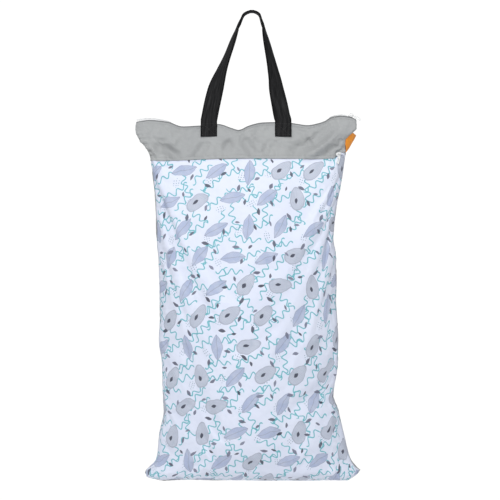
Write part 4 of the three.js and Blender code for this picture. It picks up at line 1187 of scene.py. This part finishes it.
def tagObject():
    # ribbon folded double, both ends in the side seam
    downs = np.linspace(tagEnds[0, 0], tagEnds[-1, 0], tag["places"])
    z = pouch["mouthLevel"] - downs * pouch["height"]
    direction = np.stack([readTable(tagEnds, k, downs) for k in (1, 2, 3)], axis=1)
    direction /= np.linalg.norm(direction, axis=1, keepdims=True)
    sway = float(swayY(np.array([1.0]))[0]) * (1 - smooth(downs * 4))
    start = np.stack([sideX(1, z) - tag["inSeam"], sway, z], axis=1)
    lie = np.gradient(start + direction * tag["length"], axis=0)
    out = np.cross(direction, lie)
    out /= np.linalg.norm(out, axis=1, keepdims=True)
    rows = []
    for step in np.linspace(-1, 1, tag["steps"] * 2 + 1):
        share = abs(step) ** 1.5
        reach = (tag["length"] + tag["fold"]) * (1 - share)
        belly = math.sqrt(min(1, share / 0.05)) * (0.35 + 1.1 * math.sin(math.pi * (0.12 + 0.88 * share)))
        rows.append(start + direction * reach + out * (tag["gap"] * np.sign(step) * belly))
    return clothObject("ribbonTag", np.array(rows), looks["ribbon"], False, tag["thickness"])


ribbonTag = tagObject()
print("tag made")

# The metal parts keep their solids, with softened edges
metalEdge = {"weld": 0.00002, "wide": 0.00022, "angle": 35}
for name in ("zip_slider", "zip_pull", "pocket_slider", "pocket_pull"):
    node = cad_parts[name]
    node.data.materials.clear()
    node.data.materials.append(looks["metal"])
    node.modifiers.new("weld", "WELD").merge_threshold = metalEdge["weld"]
    soften = node.modifiers.new("soften", "BEVEL")
    soften.width = metalEdge["wide"]
    soften.segments = 2
    soften.angle_limit = math.radians(metalEdge["angle"])

stageSizes = {"floor": -1.15, "radius": 1.7, "around": 96, "glow": 0.12}
room = {"seen": 1.05, "soft": 0.36, "tint": (0.95, 0.97, 1.0, 1.0)}
# place, aim, power, size and spread of each light
lights = {
    "keyLight": ((-0.25, -2.0, 0.92), (0, 0, -0.15), 12.8, 1.3, 110),
    "rightLight": ((1.8, -1.5, 0.45), (0, 0, -0.32), 6.6, 1.6, 180),
    "leftLight": ((-1.9, -1.3, 0.45), (0, 0, -0.32), 6.6, 1.6, 180),
    "backLight": ((-0.9, 2.3, 0.6), (0, 0, -0.30), 11, 1.8, 180),
}


def makeStage():
    radius = stageSizes["radius"]
    corners = np.linspace(0, 2 * math.pi, stageSizes["around"], endpoint=False)
    vertices = [(radius * math.cos(a), radius * math.sin(a), stageSizes["floor"]) for a in corners]
    s = Surface("paleFloor", {
        "Specular IOR Level": 0.2, "Emission Color": (1.0, 1.0, 1.0, 1.0), "Emission Strength": stageSizes["glow"]})
    cloud = s.noise(s.place(), 2.0)
    s.feed("Base Color", s.mix(cloud, (250, 250, 250), (246, 246, 247)))
    s.feed("Roughness", 0.85 + cloud * 0.1)
    meshFrom("floor", vertices, [tuple(range(stageSizes["around"]))], None, s.material)


def makeLight(name, place, aim, power, size, spreadAngle):
    data = bpy.data.lights.new(name, "AREA")
    data.energy = power
    data.size = size
    data.spread = math.radians(spreadAngle)
    obj = bpy.data.objects.new(name, data)
    obj.location = place
    obj.rotation_euler = (Vector(aim) - Vector(place)).to_track_quat("-Z", "Y").to_euler()
    scene.collection.objects.link(obj)


def makeRoom():
    # white around the bag, with less light from it than from the lamps
    world = bpy.data.worlds.new("softRoom")
    scene.world = world
    world.use_nodes = True
    tree = world.node_tree
    seen = tree.nodes["Background"]
    seen.inputs["Color"].default_value = (1.0, 1.0, 1.0, 1.0)
    seen.inputs["Strength"].default_value = room["seen"]
    soft = addNode(tree, "ShaderNodeBackground", inputs={"Color": room["tint"], "Strength": room["soft"]})
    cameraRay = addNode(tree, "ShaderNodeLightPath").outputs["Is Camera Ray"]
    mixed = addNode(tree, "ShaderNodeMixShader", inputs=[cameraRay, soft.outputs[0], seen.outputs[0]])
    tree.links.new(mixed.outputs[0], tree.nodes["World Output"].inputs[0])


makeStage()
for name, numbers in lights.items():
    makeLight(name, *numbers)
makeRoom()
scene.view_settings.view_transform = "Standard"
print("stage lit")

# Everything rides on the one body
riders = [
    (bandObject, "grey_cloth", ["band_front"]), (printObject, "printed_cloth", ["panel_front"]),
    (backObject, "grey_cloth", ["panel_back"]), (frontTape, "zip_tape", ["zip_tape_front"]),
    (backTape, "zip_tape", ["zip_tape_back"]), (mouthCoil, "zip_coil", ["zip_coil"]),
    (pocketCoil, "zip_coil", ["pocket_zip_coil"]), (pocketTape, "zip_tape", ["pocket_zip_tape"]),
    (webbingStrap, "webbing", ["strap"]), (ribbonTag, "tag_ribbon", ["side_tag"]),
    (bandStitches, "grey_cloth", []), (printStitches, "printed_cloth", []), (backStitches, "grey_cloth", []),
    (boxStitches, "webbing", []),
]
for piece, slotName, nodes in riders:
    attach(piece, "root")
    if nodes:
        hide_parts(*nodes)

print("sizes kept")
